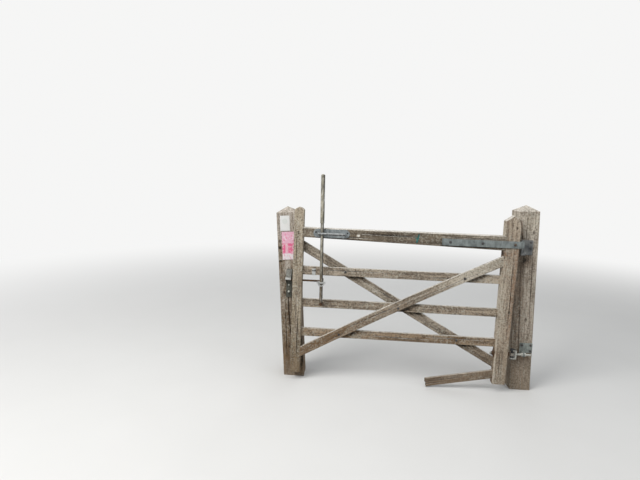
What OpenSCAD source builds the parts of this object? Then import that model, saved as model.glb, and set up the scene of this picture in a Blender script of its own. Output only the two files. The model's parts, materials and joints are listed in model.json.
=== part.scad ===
// Timber bridle gate with a tall latch lever, hung between two square posts.
// Millimetres, +Z up. The origin is the centre of the hanging post's foot at ground level.
// The leaf closes along -X across the front faces of both posts, and its front faces -Y.

/* [Leaf] */
// Width of the leaf over both stiles
leaf_w = 1840; // [1500:10:2200]
// Height of the stiles' feet above the ground
leaf_lift = 75; // [50:5:150]
// Gap between the posts' front faces and the back of the leaf
leaf_gap = 20; // [18:1:40]
// Length of the two stiles
stile_h = 1423; // [1400:1:1600]
// Thickness of the stiles and of the top rail, front to back
stile_t = 75; // [65:1:90]
// Width of the shutting stile
shut_stile_w = 85; // [60:1:110]
// Width of the hanging stile under its head
hang_stile_w = 125; // [110:1:150]
// Width of the hanging stile at its foot, as its hinge side tapers in
hang_stile_foot_w = 108; // [90:1:125]
// Rise of the shutting stile's rounded head
shut_head_rise = 26; // [10:1:40]
// Radius of the shutting stile's rounded head
shut_head_r = 50; // [46:1:80]
// Rise of the hanging stile's head on the rails' side, which is sawn straight
hang_head_rise = 44; // [20:1:60]
// Rise of the hanging stile's head on the hinge side, which is round
hang_round_rise = 103; // [60:1:120]
// Distance of the hanging stile's peak from its hinge side
hang_peak_in = 60; // [40:1:80]

/* [Rails] */
// Thickness of the under rails, front to back
rail_t = 25; // [20:1:32]
// Depth of the under rails
rail_d = 76; // [65:1:90]
// Depth of the top rail at the shutting stile
top_rail_latch_d = 82; // [70:1:100]
// Depth of the top rail at the hanging stile
top_rail_hinge_d = 120; // [100:1:140]
// Top of the top rail above the ground
top_rail_z = 1333; // [1300:1:1400]
// Top of the second rail above the ground
second_rail_z = 1005; // [980:1:1030]
// Top of the third rail above the ground
third_rail_z = 725; // [700:1:750]
// Top of the bottom rail above the ground
bottom_rail_z = 468; // [440:1:490]
// How deep the tenons enter the stiles
tenon_l = 50; // [30:1:60]
// Shoulder above and below each tenon
tenon_shoulder = 8; // [4:1:14]
// Thickness of the top rail's tenon
top_tenon_t = 27; // [20:1:35]
// Clearance round each tenon in its mortise
tenon_clear = 0.2; // [0.1:0.1:0.5]

/* [Broken rail] */
// Height of the lowest rail's mortise, at its top, above the ground
stub_z = 190; // [180:1:220]
// Length of the lowest rail that is left
stub_l = 572; // [200:1:600]
// Droop of the broken rail in degrees
stub_droop = 11; // [0:0.5:12]

/* [Braces] */
// Depth of both braces, square to their length
brace_d = 80; // [60:1:90]
// Height of the front brace's middle at the shutting stile
front_brace_latch_z = 258; // [240:1:290]
// Height of the front brace's middle at the hanging stile
front_brace_hinge_z = 1122; // [1090:1:1140]
// Upward bow of the front brace at its middle
front_brace_bow = 16; // [0:1:25]
// Height of the rear brace's middle at the shutting stile
rear_brace_latch_z = 1168; // [1140:1:1180]
// Height of the rear brace's middle at the hanging stile
rear_brace_hinge_z = 252; // [240:1:280]

/* [Posts] */
// Width of the square hanging post
hang_post_w = 175; // [165:1:200]
// Height of the hanging post up to the foot of its cap
hang_post_h = 1533; // [1480:1:1700]
// Lean of the hanging post in degrees, its top towards the leaf
hang_post_lean = 2.1; // [0:0.1:3]
// Width of the square shutting post
shut_post_w = 180; // [165:1:200]
// Height of the shutting post up to the foot of its cap
shut_post_h = 1446; // [1400:1:1600]
// Lean of the shutting post in degrees, its top away from the leaf
shut_post_lean = 4; // [0:0.1:5]
// How far the shutting post's middle stands in from the leaf's shutting edge, at the foot
shut_post_in = 25; // [15:1:45]
// Rise of the pyramid cap on each post
cap_rise = 48; // [20:1:80]

/* [Top hinge] */
// Distance of the hinge axis from the middle of the hanging post's foot
axis_in = 110; // [100:1:130]
// Distance from the hanging stile to the hinge axis
hinge_out = 28; // [24:1:60]
// Diameter of both hinge pins
pin_d = 20; // [16:1:24]
// Radial clearance of the hinge eyes and threaded rods in their holes
pin_clear = 0.05; // [0.02:0.01:0.1]
// Wall of the hinge eyes
eye_wall = 8; // [5:1:10]
// Thickness of both hinge plates on the post
hook_plate_t = 8; // [5:1:10]
// Radius of the hinge plates' corners
plate_corner_r = 6; // [2:1:10]
// Height of the top band's middle above the ground
band_z = 1265; // [1250:1:1280]
// Depth of the top band
band_d = 56; // [46:1:60]
// Thickness of the top band's iron
band_t = 8; // [5:1:10]
// Length of the top band from the leaf's hinge end
band_l = 622; // [450:1:700]
// Height of the top hook's arm above the ground
arm_z = 1178; // [1160:1:1190]
// Depth of the top hook's arm
arm_d = 25; // [15:1:35]
// Width of the top hook's arm where it runs back to its plate
arm_w = 20; // [16:1:26]
// Width of the top hook's plate
top_plate_w = 90; // [70:1:95]
// How far the top hook's plate runs past its arm and past the band
top_plate_past = 4; // [2:1:12]
// Height of the top pin above the band
pin_over = 12; // [6:1:20]

/* [Bottom hinge] */
// Height of the threaded rods above the ground
yoke_z = 335; // [310:1:350]
// Diameter of the threaded rods
thread_d = 18; // [14:1:22]
// Inner height of the yoke
yoke_gap = 62; // [50:1:80]
// Thickness of the yoke's iron
yoke_t = 8; // [6:1:10]
// Depth of the yoke front to back
yoke_d = 38; // [36:1:50]
// Gap between the leaf's eye and the closed end of the yoke
yoke_clear = 5; // [5:1:12]
// Height of the eye that turns on the bottom pin
eye_h = 24; // [18:1:30]
// Height of the bottom pin's head
pin_head_h = 7; // [5:1:10]
// How far the bottom pin's head and collar stand out round the pin
pin_flange = 6; // [4:1:8]
// Length of the bottom pin below the yoke
pin_tail = 8; // [5:1:15]
// Gap between the leaf's eye and the collar that carries it
collar_clear = 0.3; // [0.2:0.1:0.5]
// Distance of the bottom plate's left edge from the middle of the post's foot
bottom_plate_left = 36; // [30:1:60]
// Width of the bottom plate
bottom_plate_w = 106; // [90:1:108]
// Height of the bottom plate above the threaded rod
bottom_plate_h = 85; // [70:1:100]
// Distance of the lug from the plate's left edge
lug_in = 14; // [10:1:20]
// Thickness of the lug
lug_t = 10; // [8:1:14]
// Wall of the lug round the threaded rod
lug_wall = 11; // [8:1:14]
// Length of the threaded rod past the lug
rod_tail = 52; // [40:1:60]
// Width of the rod's nuts across their flats
rod_nut_w = 28; // [24:1:32]
// Height of the rod's nuts
rod_nut_h = 14; // [10:1:16]
// Width of the square washers on the hanging stile
stile_washer_w = 48; // [40:1:60]
// Thickness of the square washers on the hanging stile
stile_washer_t = 5; // [3:1:8]
// Length of the eye bolt past its nut
eye_bolt_tail = 12; // [5:1:30]
// Least length of bare thread between the leaf's eye and the nut beside it
eye_bolt_neck = 4; // [2:1:20]

/* [Bolts] */
// Diameter of the top band's bolts
band_bolt_d = 10; // [8:1:12]
// Distance of the first band bolt from the end of the band
band_bolt_edge = 66; // [40:1:80]
// Distance between the first and the second band bolt
band_bolt_pitch = 258; // [200:1:280]
// Distance of the last band bolt from the hinge end of the leaf
band_bolt_in = 40; // [20:1:50]
// Diameter of the round heads on the front of the leaf
round_head_d = 22; // [18:1:26]
// Height of the round heads on the front of the leaf
round_head_h = 5; // [3:1:7]
// Width of the coach bolts' heads and the band bolts' nuts across their flats
coach_head_w = 17; // [14:1:22]
// Height of the coach bolts' heads and the band bolts' nuts
coach_head_h = 7; // [5:1:9]
// Distance of the coach bolts from the edges of the hinge plates
coach_edge = 18; // [14:1:24]
// Diameter of the brace bolts
brace_bolt_d = 10; // [8:1:12]
// Diameter of the brace bolts' heads
brace_head_d = 20; // [16:1:24]
// Height of the brace bolts' heads
brace_head_h = 4; // [3:1:6]
// Width of the brace bolts' nuts across their flats
brace_nut_w = 15; // [13:1:20]
// Height of the brace bolts' nuts
brace_nut_h = 6; // [5:1:10]
// Clearance of the bolts across their holes in the timber
hole_clear = 0.2; // [0.1:0.1:0.6]

/* [Lever] */
// Outer diameter of the latch lever's tube
lever_d = 26.9; // [21:0.1:34]
// Wall of the latch lever's tube
lever_wall = 3.2; // [2:0.1:4]
// Outer diameter of the grip sleeve on the lever
grip_d = 33.7; // [30:0.1:42]
// Wall of the grip sleeve
grip_wall = 3.2; // [2:0.1:3.3]
// Length of the grip sleeve
grip_l = 400; // [200:10:420]
// Height of the lever's top above the ground
lever_top_z = 1776; // [1700:1:1850]
// Distance of the lever's pivot from the shutting stile
lever_x = 164; // [155:1:210]
// Lean of the lever at rest in degrees, its top towards the shutting stile
lever_lean = 1; // [0:0.1:2]
// Swing of the lever in degrees
lever_swing = 15; // [8:1:16]
// Distance of the lever's pivot below the third rail's top
pivot_drop = 28; // [20:1:45]
// Diameter of the lever's pivot bolt
pivot_d = 12; // [10:1:16]
// Diameter of the boss at the foot of the lever
boss_d = 30; // [26:1:36]
// Length of the boss along the pivot bolt
boss_l = 28; // [28:1:34]
// Diameter of the spacer behind the boss
spacer_d = 24; // [20:1:28]
// Thickness of the washer in front of the boss
pivot_washer_t = 2; // [1:0.5:3]
// Gap between the boss and the washer or spacer on each side of it
boss_clear = 0.3; // [0.2:0.1:0.5]
// Width of the pivot bolt's nuts across their flats
pivot_nut_w = 19; // [17:1:24]
// Height of the pivot bolt's nuts
pivot_nut_h = 9; // [7:1:12]

/* [Guide] */
// Length of the slotted guide on the top rail
guide_l = 298; // [280:1:330]
// Height of the slotted guide
guide_h = 70; // [54:1:78]
// How far the guide runs past the lever's pivot towards the shutting stile
guide_past = 83; // [75:1:95]
// Distance of the guide's middle below the top rail's top
guide_drop = 42; // [40:1:50]
// Thickness of the guide's back plate
guide_plate_t = 5; // [3:1:8]
// Thickness of the guide's front bar
guide_bar_t = 6; // [4:1:8]
// Height of the guide's front bar
guide_bar_h = 20; // [12:1:30]
// Gap in front of and behind the lever in its guide
guide_clear = 5; // [5:0.5:10]
// Gap between the lever and the legs of the bar at both ends of its swing
guide_end = 14; // [6:1:18]
// Diameter of the guide's screw heads
guide_screw_d = 14; // [10:1:18]
// Height of the guide's screw heads
guide_screw_h = 4; // [2:1:6]
// Height of the screws above the guide's middle
guide_screw_up = 9; // [0:1:12]

/* [Clamp and latch rod] */
// Height of the latch rod above the ground
bolt_z = 878; // [860:1:895]
// Diameter of the latch rod
bolt_d = 16; // [12:1:18]
// How far the latch rod stands out of the leaf when it is shot
bolt_throw = 52; // [45:1:55]
// Radial clearance of the latch rod in the stile
bolt_clear = 0.1; // [0.05:0.01:0.1]
// Diameter of the clamp's pin in the latch rod's eye
clamp_pin_d = 10; // [8:1:12]
// How far the clamp's pin stands out behind the eye
clamp_pin_past = 6; // [3:1:10]
// Width of the clamp's saddle
saddle_w = 44; // [40:1:52]
// Height of the clamp's saddle
saddle_h = 18; // [14:1:24]
// Wall of the saddle in front of and behind the lever
saddle_wall = 6; // [4:1:8]
// Length of the cross bar
cross_bar_l = 76; // [66:1:84]
// Height of the cross bar
cross_bar_h = 8; // [6:1:12]
// Thickness of the cross bar
cross_bar_t = 12; // [10:1:14]
// Diameter of the U-bolt's iron
u_bolt_d = 9; // [6:1:10]
// Radius of the U-bolt's bend
u_bolt_r = 24; // [20:1:28]
// Length of the U-bolt's legs above the cross bar
u_bolt_over = 8; // [4:1:12]
// Thickness of the latch rod's eye plate
eye_plate_t = 8; // [6:1:10]
// Width of the latch rod's eye plate
eye_plate_w = 30; // [26:1:36]
// Height of the latch rod's eye plate
eye_plate_h = 62; // [54:1:70]
// Play round the clamp's pin in the eye's slot
eye_slot_play = 0.6; // [0.4:0.1:1]

/* [Cleat] */
// Distance of the cleat from the shutting stile
cleat_x = 77; // [70:1:90]
// Width of the cleat
cleat_w = 30; // [20:1:36]
// Thickness of the cleat
cleat_t = 5; // [3:1:6]
// Height of the cleat
cleat_h = 58; // [45:1:64]
// Diameter of the cleat's round head
cleat_head_d = 16; // [12:1:20]
// Height of the cleat's round head
cleat_head_h = 6; // [4:1:8]

/* [Catch and notices] */
// Width of the catch on the shutting post
catch_w = 48; // [40:1:60]
// Length of the catch's back plate
catch_l = 250; // [200:1:260]
// Height of the catch's top above the latch rod
catch_over = 82; // [60:1:90]
// Thickness of the catch's iron
catch_t = 5; // [4:1:8]
// Gap between the latch rod and the catch
catch_clear = 5; // [5:0.5:8]
// Distance of the catch from the leaf's shutting edge
catch_out = 14; // [10:1:18]
// Diameter of the catch's screw heads
catch_screw_d = 18; // [12:1:22]
// Distance of the catch's first screw below the latch rod
catch_screw_drop = 58; // [40:1:65]
// Distance between the catch's screws
catch_screw_pitch = 60; // [40:1:65]
// Width of the white notice
white_notice_w = 82; // [60:1:90]
// Height of the white notice
white_notice_h = 130; // [80:1:160]
// Distance of the white notice from the post's left edge
white_notice_in = 30; // [20:1:40]
// Width of the pink notice
pink_notice_w = 118; // [80:1:125]
// Height of the pink notice
pink_notice_h = 240; // [150:1:260]
// Distance of the pink notice from the post's left edge
pink_notice_in = 40; // [20:1:45]
// Distance of the white notice below the foot of the post's cap
notice_drop = 26; // [10:1:60]
// Gap between the two notices
notice_gap = 8; // [2:1:20]
// Least gap between the pink notice and the catch below it
notice_over_catch = 10; // [5:1:60]
// Thickness of both notices
notice_t = 2; // [1:0.5:4]

/* [Hidden] */
$fn = 48;

// How far a cutting shape runs past the face that it cuts, and a joined one into its neighbour
cut = 1;
// Clearance between pieces that are forged or clamped round each other
fit_clear = 0.1;

// Leaf, from its back face forward and from its hinge end to its shutting end
post_front_y = -hang_post_w / 2;
leaf_back_y = post_front_y - leaf_gap;
leaf_mid_y = leaf_back_y - stile_t / 2;
leaf_front_y = leaf_back_y - stile_t;
rail_front_y = leaf_mid_y - rail_t / 2;
rail_back_y = leaf_mid_y + rail_t / 2;
axis_x = -axis_in;
axis_y = leaf_mid_y;
leaf_hinge_x = axis_x - hinge_out;
leaf_shut_x = leaf_hinge_x - leaf_w;
hang_stile_x = leaf_hinge_x - hang_stile_w;
shut_stile_x = leaf_shut_x + shut_stile_w;
clear_w = hang_stile_x - shut_stile_x;
stile_top_z = leaf_lift + stile_h;
round_shoulder_z = stile_top_z - hang_round_rise;

// Hinge side of the hanging stile at a height above the ground
function hinge_side_x(z) = leaf_hinge_x - (hang_stile_w - hang_stile_foot_w)
    * (round_shoulder_z - z) / (round_shoulder_z - leaf_lift);

// Posts
shut_post_x = leaf_shut_x + shut_post_in;
shut_post_left = -shut_post_w / 2;

// Top hinge
band_low_z = band_z - band_d / 2;
band_high_z = band_z + band_d / 2;
band_back_x = leaf_hinge_x - band_l;
band_bolt_x = [band_back_x + band_bolt_edge, band_back_x + band_bolt_edge + band_bolt_pitch,
    leaf_hinge_x - band_bolt_in];
eye_d = pin_d + 2 * eye_wall;
eye_hole_d = pin_d + 2 * pin_clear;
hook_plate_y = post_front_y - hook_plate_t;
top_plate_x = axis_x + (pin_d + arm_w) / 2 - plate_corner_r;
top_plate_low_z = arm_z - top_plate_past;
top_plate_high_z = band_high_z + top_plate_past;

// Bottom hinge
yoke_low_z = yoke_z - yoke_gap / 2;
yoke_high_z = yoke_z + yoke_gap / 2;
yoke_inner_x = axis_x + eye_d / 2 + yoke_clear;
bottom_plate_x = -bottom_plate_left;
bottom_plate_right_x = bottom_plate_x + bottom_plate_w;
lug_x = bottom_plate_x + lug_in;
lug_r = thread_d / 2 + lug_wall;
thread_hole_d = thread_d + 2 * pin_clear;

// Lever
lever_px = shut_stile_x + lever_x;
pivot_z = third_rail_z - pivot_drop;
guide_slot = lever_d + 2 * guide_clear;
guide_plate_y = leaf_front_y - guide_plate_t;
lever_y = guide_plate_y - guide_slot / 2;
lever_l = (lever_top_z - pivot_z) / cos(lever_lean);
grip_cap_t = 12;

// Guide
guide_z = top_rail_z - guide_drop;
guide_left_x = lever_px - guide_past;
guide_right_x = guide_left_x + guide_l;
guide_rise = guide_z - pivot_z;
guide_bar_x0 = lever_px - guide_rise * tan(lever_lean) - lever_d / 2 - guide_end;
guide_bar_x1 = lever_px + guide_rise * tan(lever_swing - lever_lean) + lever_d / 2 + guide_end;

// Clamp and latch rod
bolt_y = leaf_mid_y;
clamp_arm = (bolt_z - pivot_z) / cos(lever_lean);
eye_x = lever_px - clamp_arm * sin(lever_lean);
eye_drop = clamp_arm * (1 - cos(lever_swing - lever_lean));
nose_x = leaf_shut_x - bolt_throw;

// Catch
catch_right_x = leaf_shut_x - catch_out;
catch_left_x = catch_right_x - catch_w;
catch_face_y = post_front_y - catch_t;
catch_top_z = bolt_z + catch_over;
lip_y = bolt_y - bolt_d / 2 - catch_clear;
hood_z = bolt_z + bolt_d / 2 + catch_clear;

// Height of the pink notice's foot up the post: under the cap, but never down at the catch
notice_low = max(shut_post_h - notice_drop - white_notice_h - notice_gap - pink_notice_h,
    (catch_top_z + notice_over_catch) / cos(shut_post_lean) + shut_post_w / 2 * tan(shut_post_lean));

steel = [0.66, 0.69, 0.70];
dark_steel = [0.45, 0.48, 0.50];
rusty = [0.42, 0.30, 0.22];
oak_grey = [0.60, 0.57, 0.51];
oak_dark = [0.48, 0.43, 0.38];
oak_pale = [0.68, 0.65, 0.58];

// A box from one corner to the other
module box(a, b) {
    translate(a) cube([b[0] - a[0], b[1] - a[1], b[2] - a[2]]);
}

// Round bars along each direction, from one end to the other
module bar_x(d, x0, x1, y, z) {
    translate([x0, y, z]) rotate([0, 90, 0]) cylinder(d = d, h = x1 - x0);
}
module bar_y(d, x, y0, y1, z) {
    translate([x, y1, z]) rotate([90, 0, 0]) cylinder(d = d, h = y1 - y0);
}
module bar_z(d, x, y, z0, z1) {
    translate([x, y, z0]) cylinder(d = d, h = z1 - z0);
}

// Hexagon nuts and heads, by their width across the flats
module hex_x(flats, x0, x1, y, z) {
    translate([x0, y, z]) rotate([0, 90, 0]) cylinder(d = flats / cos(30), h = x1 - x0, $fn = 6);
}
module hex_y(flats, x, y0, y1, z) {
    translate([x, y1, z]) rotate([90, 0, 0]) cylinder(d = flats / cos(30), h = y1 - y0, $fn = 6);
}

// An outline drawn in X and Z, made solid from y0 at the front to y1 behind it
module plate_xz(y0, y1) {
    translate([0, y1, 0]) rotate([90, 0, 0]) linear_extrude(y1 - y0) children();
}

// An outline drawn in Y and Z, made solid from x0 to x1
module plate_yz(x0, x1) {
    translate([x0, 0, 0]) rotate([90, 0, 90]) linear_extrude(x1 - x0) children();
}

// An outline drawn in X and Y, made solid from z0 to z1
module plate_xy(z0, z1) {
    translate([0, 0, z0]) linear_extrude(z1 - z0) children();
}

// A rectangle with round corners, from one corner to the other
module round_rect(a, b, r) {
    translate([a[0] + r, a[1]]) square([b[0] - a[0] - 2 * r, b[1] - a[1]]);
    translate([a[0], a[1] + r]) square([b[0] - a[0], b[1] - a[1] - 2 * r]);
    for (x = [a[0] + r, b[0] - r], y = [a[1] + r, b[1] - r])
        translate([x, y]) circle(r = r);
}

// Points of a smooth bow from a to b, drawn towards c
function bow(a, c, b, steps) = [for (i = [0:steps])
    let (t = i / steps) (1 - t) * (1 - t) * a + 2 * t * (1 - t) * c + t * t * b];

// A square post with a pyramid cap, leaning over by its foot and cut off level at the ground
module post(w, h, lean) {
    below = w * sin(abs(lean)) + cut;
    outline = [[-w / 2, -below], [w / 2, -below], [w / 2, h], [0, h + cap_rise], [-w / 2, h]];
    intersection() {
        rotate([0, -lean, 0]) intersection() {
            plate_xz(-w / 2, w / 2) polygon(outline);
            plate_yz(-w / 2, w / 2) polygon(outline);
        }
        box([-h, -w, 0], [h, w, 2 * h]);
    }
}

module hanging_post() {
    color(oak_pale) post(hang_post_w, hang_post_h, hang_post_lean);
}

module shutting_post() {
    color(oak_grey) translate([shut_post_x, post_front_y + shut_post_w / 2, 0])
        post(shut_post_w, shut_post_h, shut_post_lean);
}

// A notice on the shutting post's front, placed from the post's left edge and up its own length
module notice(left, low, w, h) {
    translate([shut_post_x, post_front_y, 0]) rotate([0, -shut_post_lean, 0])
        box([shut_post_left + left, -notice_t, low], [shut_post_left + left + w, 0, low + h]);
}

module white_notice() {
    color("white") notice(white_notice_in, notice_low + pink_notice_h + notice_gap,
        white_notice_w, white_notice_h);
}

module pink_notice() {
    color([0.93, 0.62, 0.72]) notice(pink_notice_in, notice_low, pink_notice_w, pink_notice_h);
}

// Back plate, left cheek and a sloping hood whose lip hangs down before the latch rod's upper half
module latch_catch() {
    hood_top = [catch_face_y, catch_top_z - catch_t];
    hood_edge = [lip_y - catch_t, hood_z + catch_t];
    lip_foot = [lip_y - catch_t, bolt_z];
    cheek_foot = [catch_face_y, bolt_z - 3 * bolt_d];
    color(steel) {
        box([catch_left_x, catch_face_y, catch_top_z - catch_l],
            [catch_right_x, post_front_y, catch_top_z]);
        plate_yz(catch_left_x, catch_left_x + catch_t)
            polygon([hood_top, hood_edge, lip_foot, cheek_foot]);
        plate_yz(catch_left_x, catch_right_x)
            polygon([hood_top, hood_edge, lip_foot, lip_foot + [catch_t, 0], [lip_y, hood_z],
                hood_top - [0, 1.4 * catch_t]]);
    }
}

// Post plate, arm and upright pin, forged and welded as one
module top_hook() {
    arm_top_z = arm_z + arm_d;
    arm_right_x = axis_x + pin_d / 2 + arm_w;
    color(dark_steel) {
        plate_xz(hook_plate_y, post_front_y)
            round_rect([top_plate_x, top_plate_low_z], [top_plate_x + top_plate_w, top_plate_high_z],
                plate_corner_r);
        box([axis_x, axis_y - pin_d / 2, arm_z], [arm_right_x, axis_y + pin_d / 2, arm_top_z]);
        box([arm_right_x - arm_w, axis_y - pin_d / 2, arm_z], [arm_right_x, hook_plate_y, arm_top_z]);
        bar_z(pin_d, axis_x, axis_y, arm_z, band_high_z + pin_over);
    }
}

// Post plate with a tongue below it and a round lug out in front that holds the yoke's rod
module bottom_hook_plate() {
    tongue_w = lug_in + lug_t + lug_r;
    color(steel) difference() {
        union() {
            plate_xz(hook_plate_y, post_front_y) {
                round_rect([bottom_plate_x, yoke_z], [bottom_plate_right_x, yoke_z + bottom_plate_h],
                    plate_corner_r);
                round_rect([bottom_plate_x, yoke_z - lug_r], [bottom_plate_x + tongue_w, yoke_z + lug_r],
                    plate_corner_r);
            }
            plate_yz(lug_x, lug_x + lug_t) {
                translate([axis_y, yoke_z]) circle(r = lug_r);
                translate([axis_y, yoke_z - lug_r]) square([hook_plate_y - axis_y, 2 * lug_r]);
            }
        }
        bar_x(thread_hole_d, lug_x - cut, lug_x + lug_t + cut, axis_y, yoke_z);
    }
}

// U-shaped yoke on a threaded rod that is nutted on each side of the post plate's lug
module bottom_yoke() {
    outer_x = yoke_inner_x + yoke_t;
    color(steel) difference() {
        union() {
            box([yoke_inner_x, axis_y - yoke_d / 2, yoke_low_z - yoke_t],
                [outer_x, axis_y + yoke_d / 2, yoke_high_z + yoke_t]);
            for (z = [yoke_low_z - yoke_t, yoke_high_z]) {
                box([axis_x, axis_y - yoke_d / 2, z], [outer_x, axis_y + yoke_d / 2, z + yoke_t]);
                bar_z(yoke_d, axis_x, axis_y, z, z + yoke_t);
            }
            bar_x(thread_d, outer_x - cut, lug_x + lug_t + rod_tail, axis_y, yoke_z);
            for (x = [lug_x - rod_nut_h, lug_x + lug_t])
                hex_x(rod_nut_w, x, x + rod_nut_h, axis_y, yoke_z);
        }
        bar_z(eye_hole_d, axis_x, axis_y, yoke_low_z - yoke_t - cut, yoke_high_z + yoke_t + cut);
    }
}

// Pin through the yoke, with a head above and the collar that carries the leaf's eye
module bottom_pin() {
    head_z = yoke_high_z + yoke_t;
    flange_d = pin_d + 2 * pin_flange;
    color(steel) {
        bar_z(pin_d, axis_x, axis_y, yoke_low_z - yoke_t - pin_tail, head_z + pin_head_h);
        bar_z(flange_d, axis_x, axis_y, head_z, head_z + pin_head_h);
        bar_z(flange_d, axis_x, axis_y, yoke_low_z, yoke_z - eye_h / 2 - collar_clear);
    }
}

// Coach bolts that hold both hinge plates, and the screws of the catch
module post_bolts() {
    low_z = arm_z + arm_d + coach_edge + coach_head_w / 2;
    right_x = bottom_plate_right_x - coach_edge;
    color(dark_steel) {
        for (z = [low_z, top_plate_high_z - coach_edge])
            coach_head(top_plate_x + top_plate_w - coach_edge, z);
        for (x = [bottom_plate_x + coach_edge, right_x])
            coach_head(x, yoke_z + bottom_plate_h - coach_edge);
        coach_head(right_x, yoke_z + coach_edge);
        for (i = [0:1])
            bar_y(catch_screw_d, (catch_left_x + catch_right_x) / 2, catch_face_y - round_head_h,
                catch_face_y, bolt_z - catch_screw_drop - i * catch_screw_pitch);
    }
}

module coach_head(x, z) {
    hex_y(coach_head_w, x, hook_plate_y - coach_head_h, hook_plate_y, z);
}

// A mortise for a tenon of thickness t, cut into a stile from x0 to x1 for a rail with its top at z
module mortise(x0, x1, z, d, t) {
    box([x0, leaf_mid_y - t / 2 - tenon_clear, z - d + tenon_shoulder - tenon_clear],
        [x1, leaf_mid_y + t / 2 + tenon_clear, z - tenon_shoulder + tenon_clear]);
}

// The five mortises of one stile, cut from x0 to x1 and through the face that meets the rails
module stile_mortises(x0, x1, top_d) {
    mortise(x0, x1, top_rail_z, top_d, top_tenon_t);
    for (z = [second_rail_z, third_rail_z, bottom_rail_z, stub_z])
        mortise(x0, x1, z, rail_d, rail_t);
}

// Stile with a head rounded to a circle, and the latch rod's hole through it
module shutting_stile() {
    color(oak_grey) difference() {
        plate_xz(leaf_front_y, leaf_back_y) intersection() {
            translate([leaf_shut_x, leaf_lift]) square([shut_stile_w, stile_h]);
            union() {
                translate([leaf_shut_x, leaf_lift]) square([shut_stile_w, stile_h - shut_head_rise]);
                translate([leaf_shut_x + shut_stile_w / 2, stile_top_z - shut_head_r])
                    circle(r = shut_head_r);
            }
        }
        stile_mortises(shut_stile_x - tenon_l - tenon_clear, shut_stile_x + cut, top_rail_latch_d);
        bar_x(bolt_d + 2 * bolt_clear, leaf_shut_x - cut, shut_stile_x + cut, bolt_y, bolt_z);
    }
}

// Stile with a pointed head, sawn straight on the rails' side and round on the hinge side
module hanging_stile() {
    peak = [leaf_hinge_x - hang_peak_in, stile_top_z];
    shoulder = [leaf_hinge_x, round_shoulder_z];
    elbow = [leaf_hinge_x, stile_top_z - hang_round_rise * 0.4];
    color(oak_grey) difference() {
        plate_xz(leaf_front_y, leaf_back_y)
            polygon(concat([[hang_stile_x, stile_top_z - hang_head_rise], [hang_stile_x, leaf_lift],
                [hang_stile_x + hang_stile_foot_w, leaf_lift]], bow(shoulder, elbow, peak, 10)));
        stile_mortises(hang_stile_x - cut, hang_stile_x + tenon_l + tenon_clear, top_rail_hinge_d);
        bar_x(thread_hole_d, hang_stile_x - cut, leaf_hinge_x + cut, axis_y, yoke_z);
        timber_hole(band_bolt_d, band_bolt_x[2], band_z);
    }
}

// A bolt hole through the whole thickness of the leaf
module timber_hole(d, x, z) {
    bar_y(d + hole_clear, x, leaf_front_y - cut, leaf_back_y + cut, z);
}

// Square top rail, deeper at the hinge end, with a stub tenon at each end
module top_rail() {
    tenon_front_y = leaf_mid_y - top_tenon_t / 2;
    tenon_back_y = leaf_mid_y + top_tenon_t / 2;
    tenon_top_z = top_rail_z - tenon_shoulder;
    latch_low_z = top_rail_z - top_rail_latch_d;
    hinge_low_z = top_rail_z - top_rail_hinge_d;
    color(oak_dark) difference() {
        union() {
            plate_xz(leaf_front_y, leaf_back_y)
                polygon([[shut_stile_x, top_rail_z], [shut_stile_x, latch_low_z],
                    [hang_stile_x, hinge_low_z], [hang_stile_x, top_rail_z]]);
            box([shut_stile_x - tenon_l, tenon_front_y, latch_low_z + tenon_shoulder],
                [shut_stile_x + cut, tenon_back_y, tenon_top_z]);
            box([hang_stile_x - cut, tenon_front_y, hinge_low_z + tenon_shoulder],
                [hang_stile_x + tenon_l, tenon_back_y, tenon_top_z]);
        }
        for (i = [0:1])
            timber_hole(band_bolt_d, band_bolt_x[i], band_z);
    }
}

// A thin under rail with its top at z, a tenon at each end and the brace bolts' holes
module under_rail(z) {
    difference() {
        union() {
            box([shut_stile_x, rail_front_y, z - rail_d], [hang_stile_x, rail_back_y, z]);
            box([shut_stile_x - tenon_l, rail_front_y, z - rail_d + tenon_shoulder],
                [hang_stile_x + tenon_l, rail_back_y, z - tenon_shoulder]);
        }
        brace_holes();
    }
}

// Where the line between a brace's two end middles is at height z
function brace_x(z, latch_z, hinge_z) = shut_stile_x + (z - latch_z) / (hinge_z - latch_z) * clear_w;

// Middles of the rails that the braces are bolted to, and where each brace crosses them
rail_mid_z = [second_rail_z - rail_d / 2, third_rail_z - rail_d / 2, bottom_rail_z - rail_d / 2];
front_bolts = [for (z = rail_mid_z) [brace_x(z, front_brace_latch_z, front_brace_hinge_z), z]];
rear_bolts = [for (z = [rail_mid_z[0], rail_mid_z[2]])
    [brace_x(z, rear_brace_latch_z, rear_brace_hinge_z), z]];

module brace_holes() {
    for (at = concat(front_bolts, rear_bolts))
        timber_hole(brace_bolt_d, at[0], at[1]);
}

module second_rail() {
    color(oak_grey) under_rail(second_rail_z);
}

module third_rail() {
    color(oak_grey) difference() {
        under_rail(third_rail_z);
        timber_hole(pivot_d, lever_px, pivot_z);
    }
}

module bottom_rail() {
    color(oak_grey) under_rail(bottom_rail_z);
}

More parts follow.
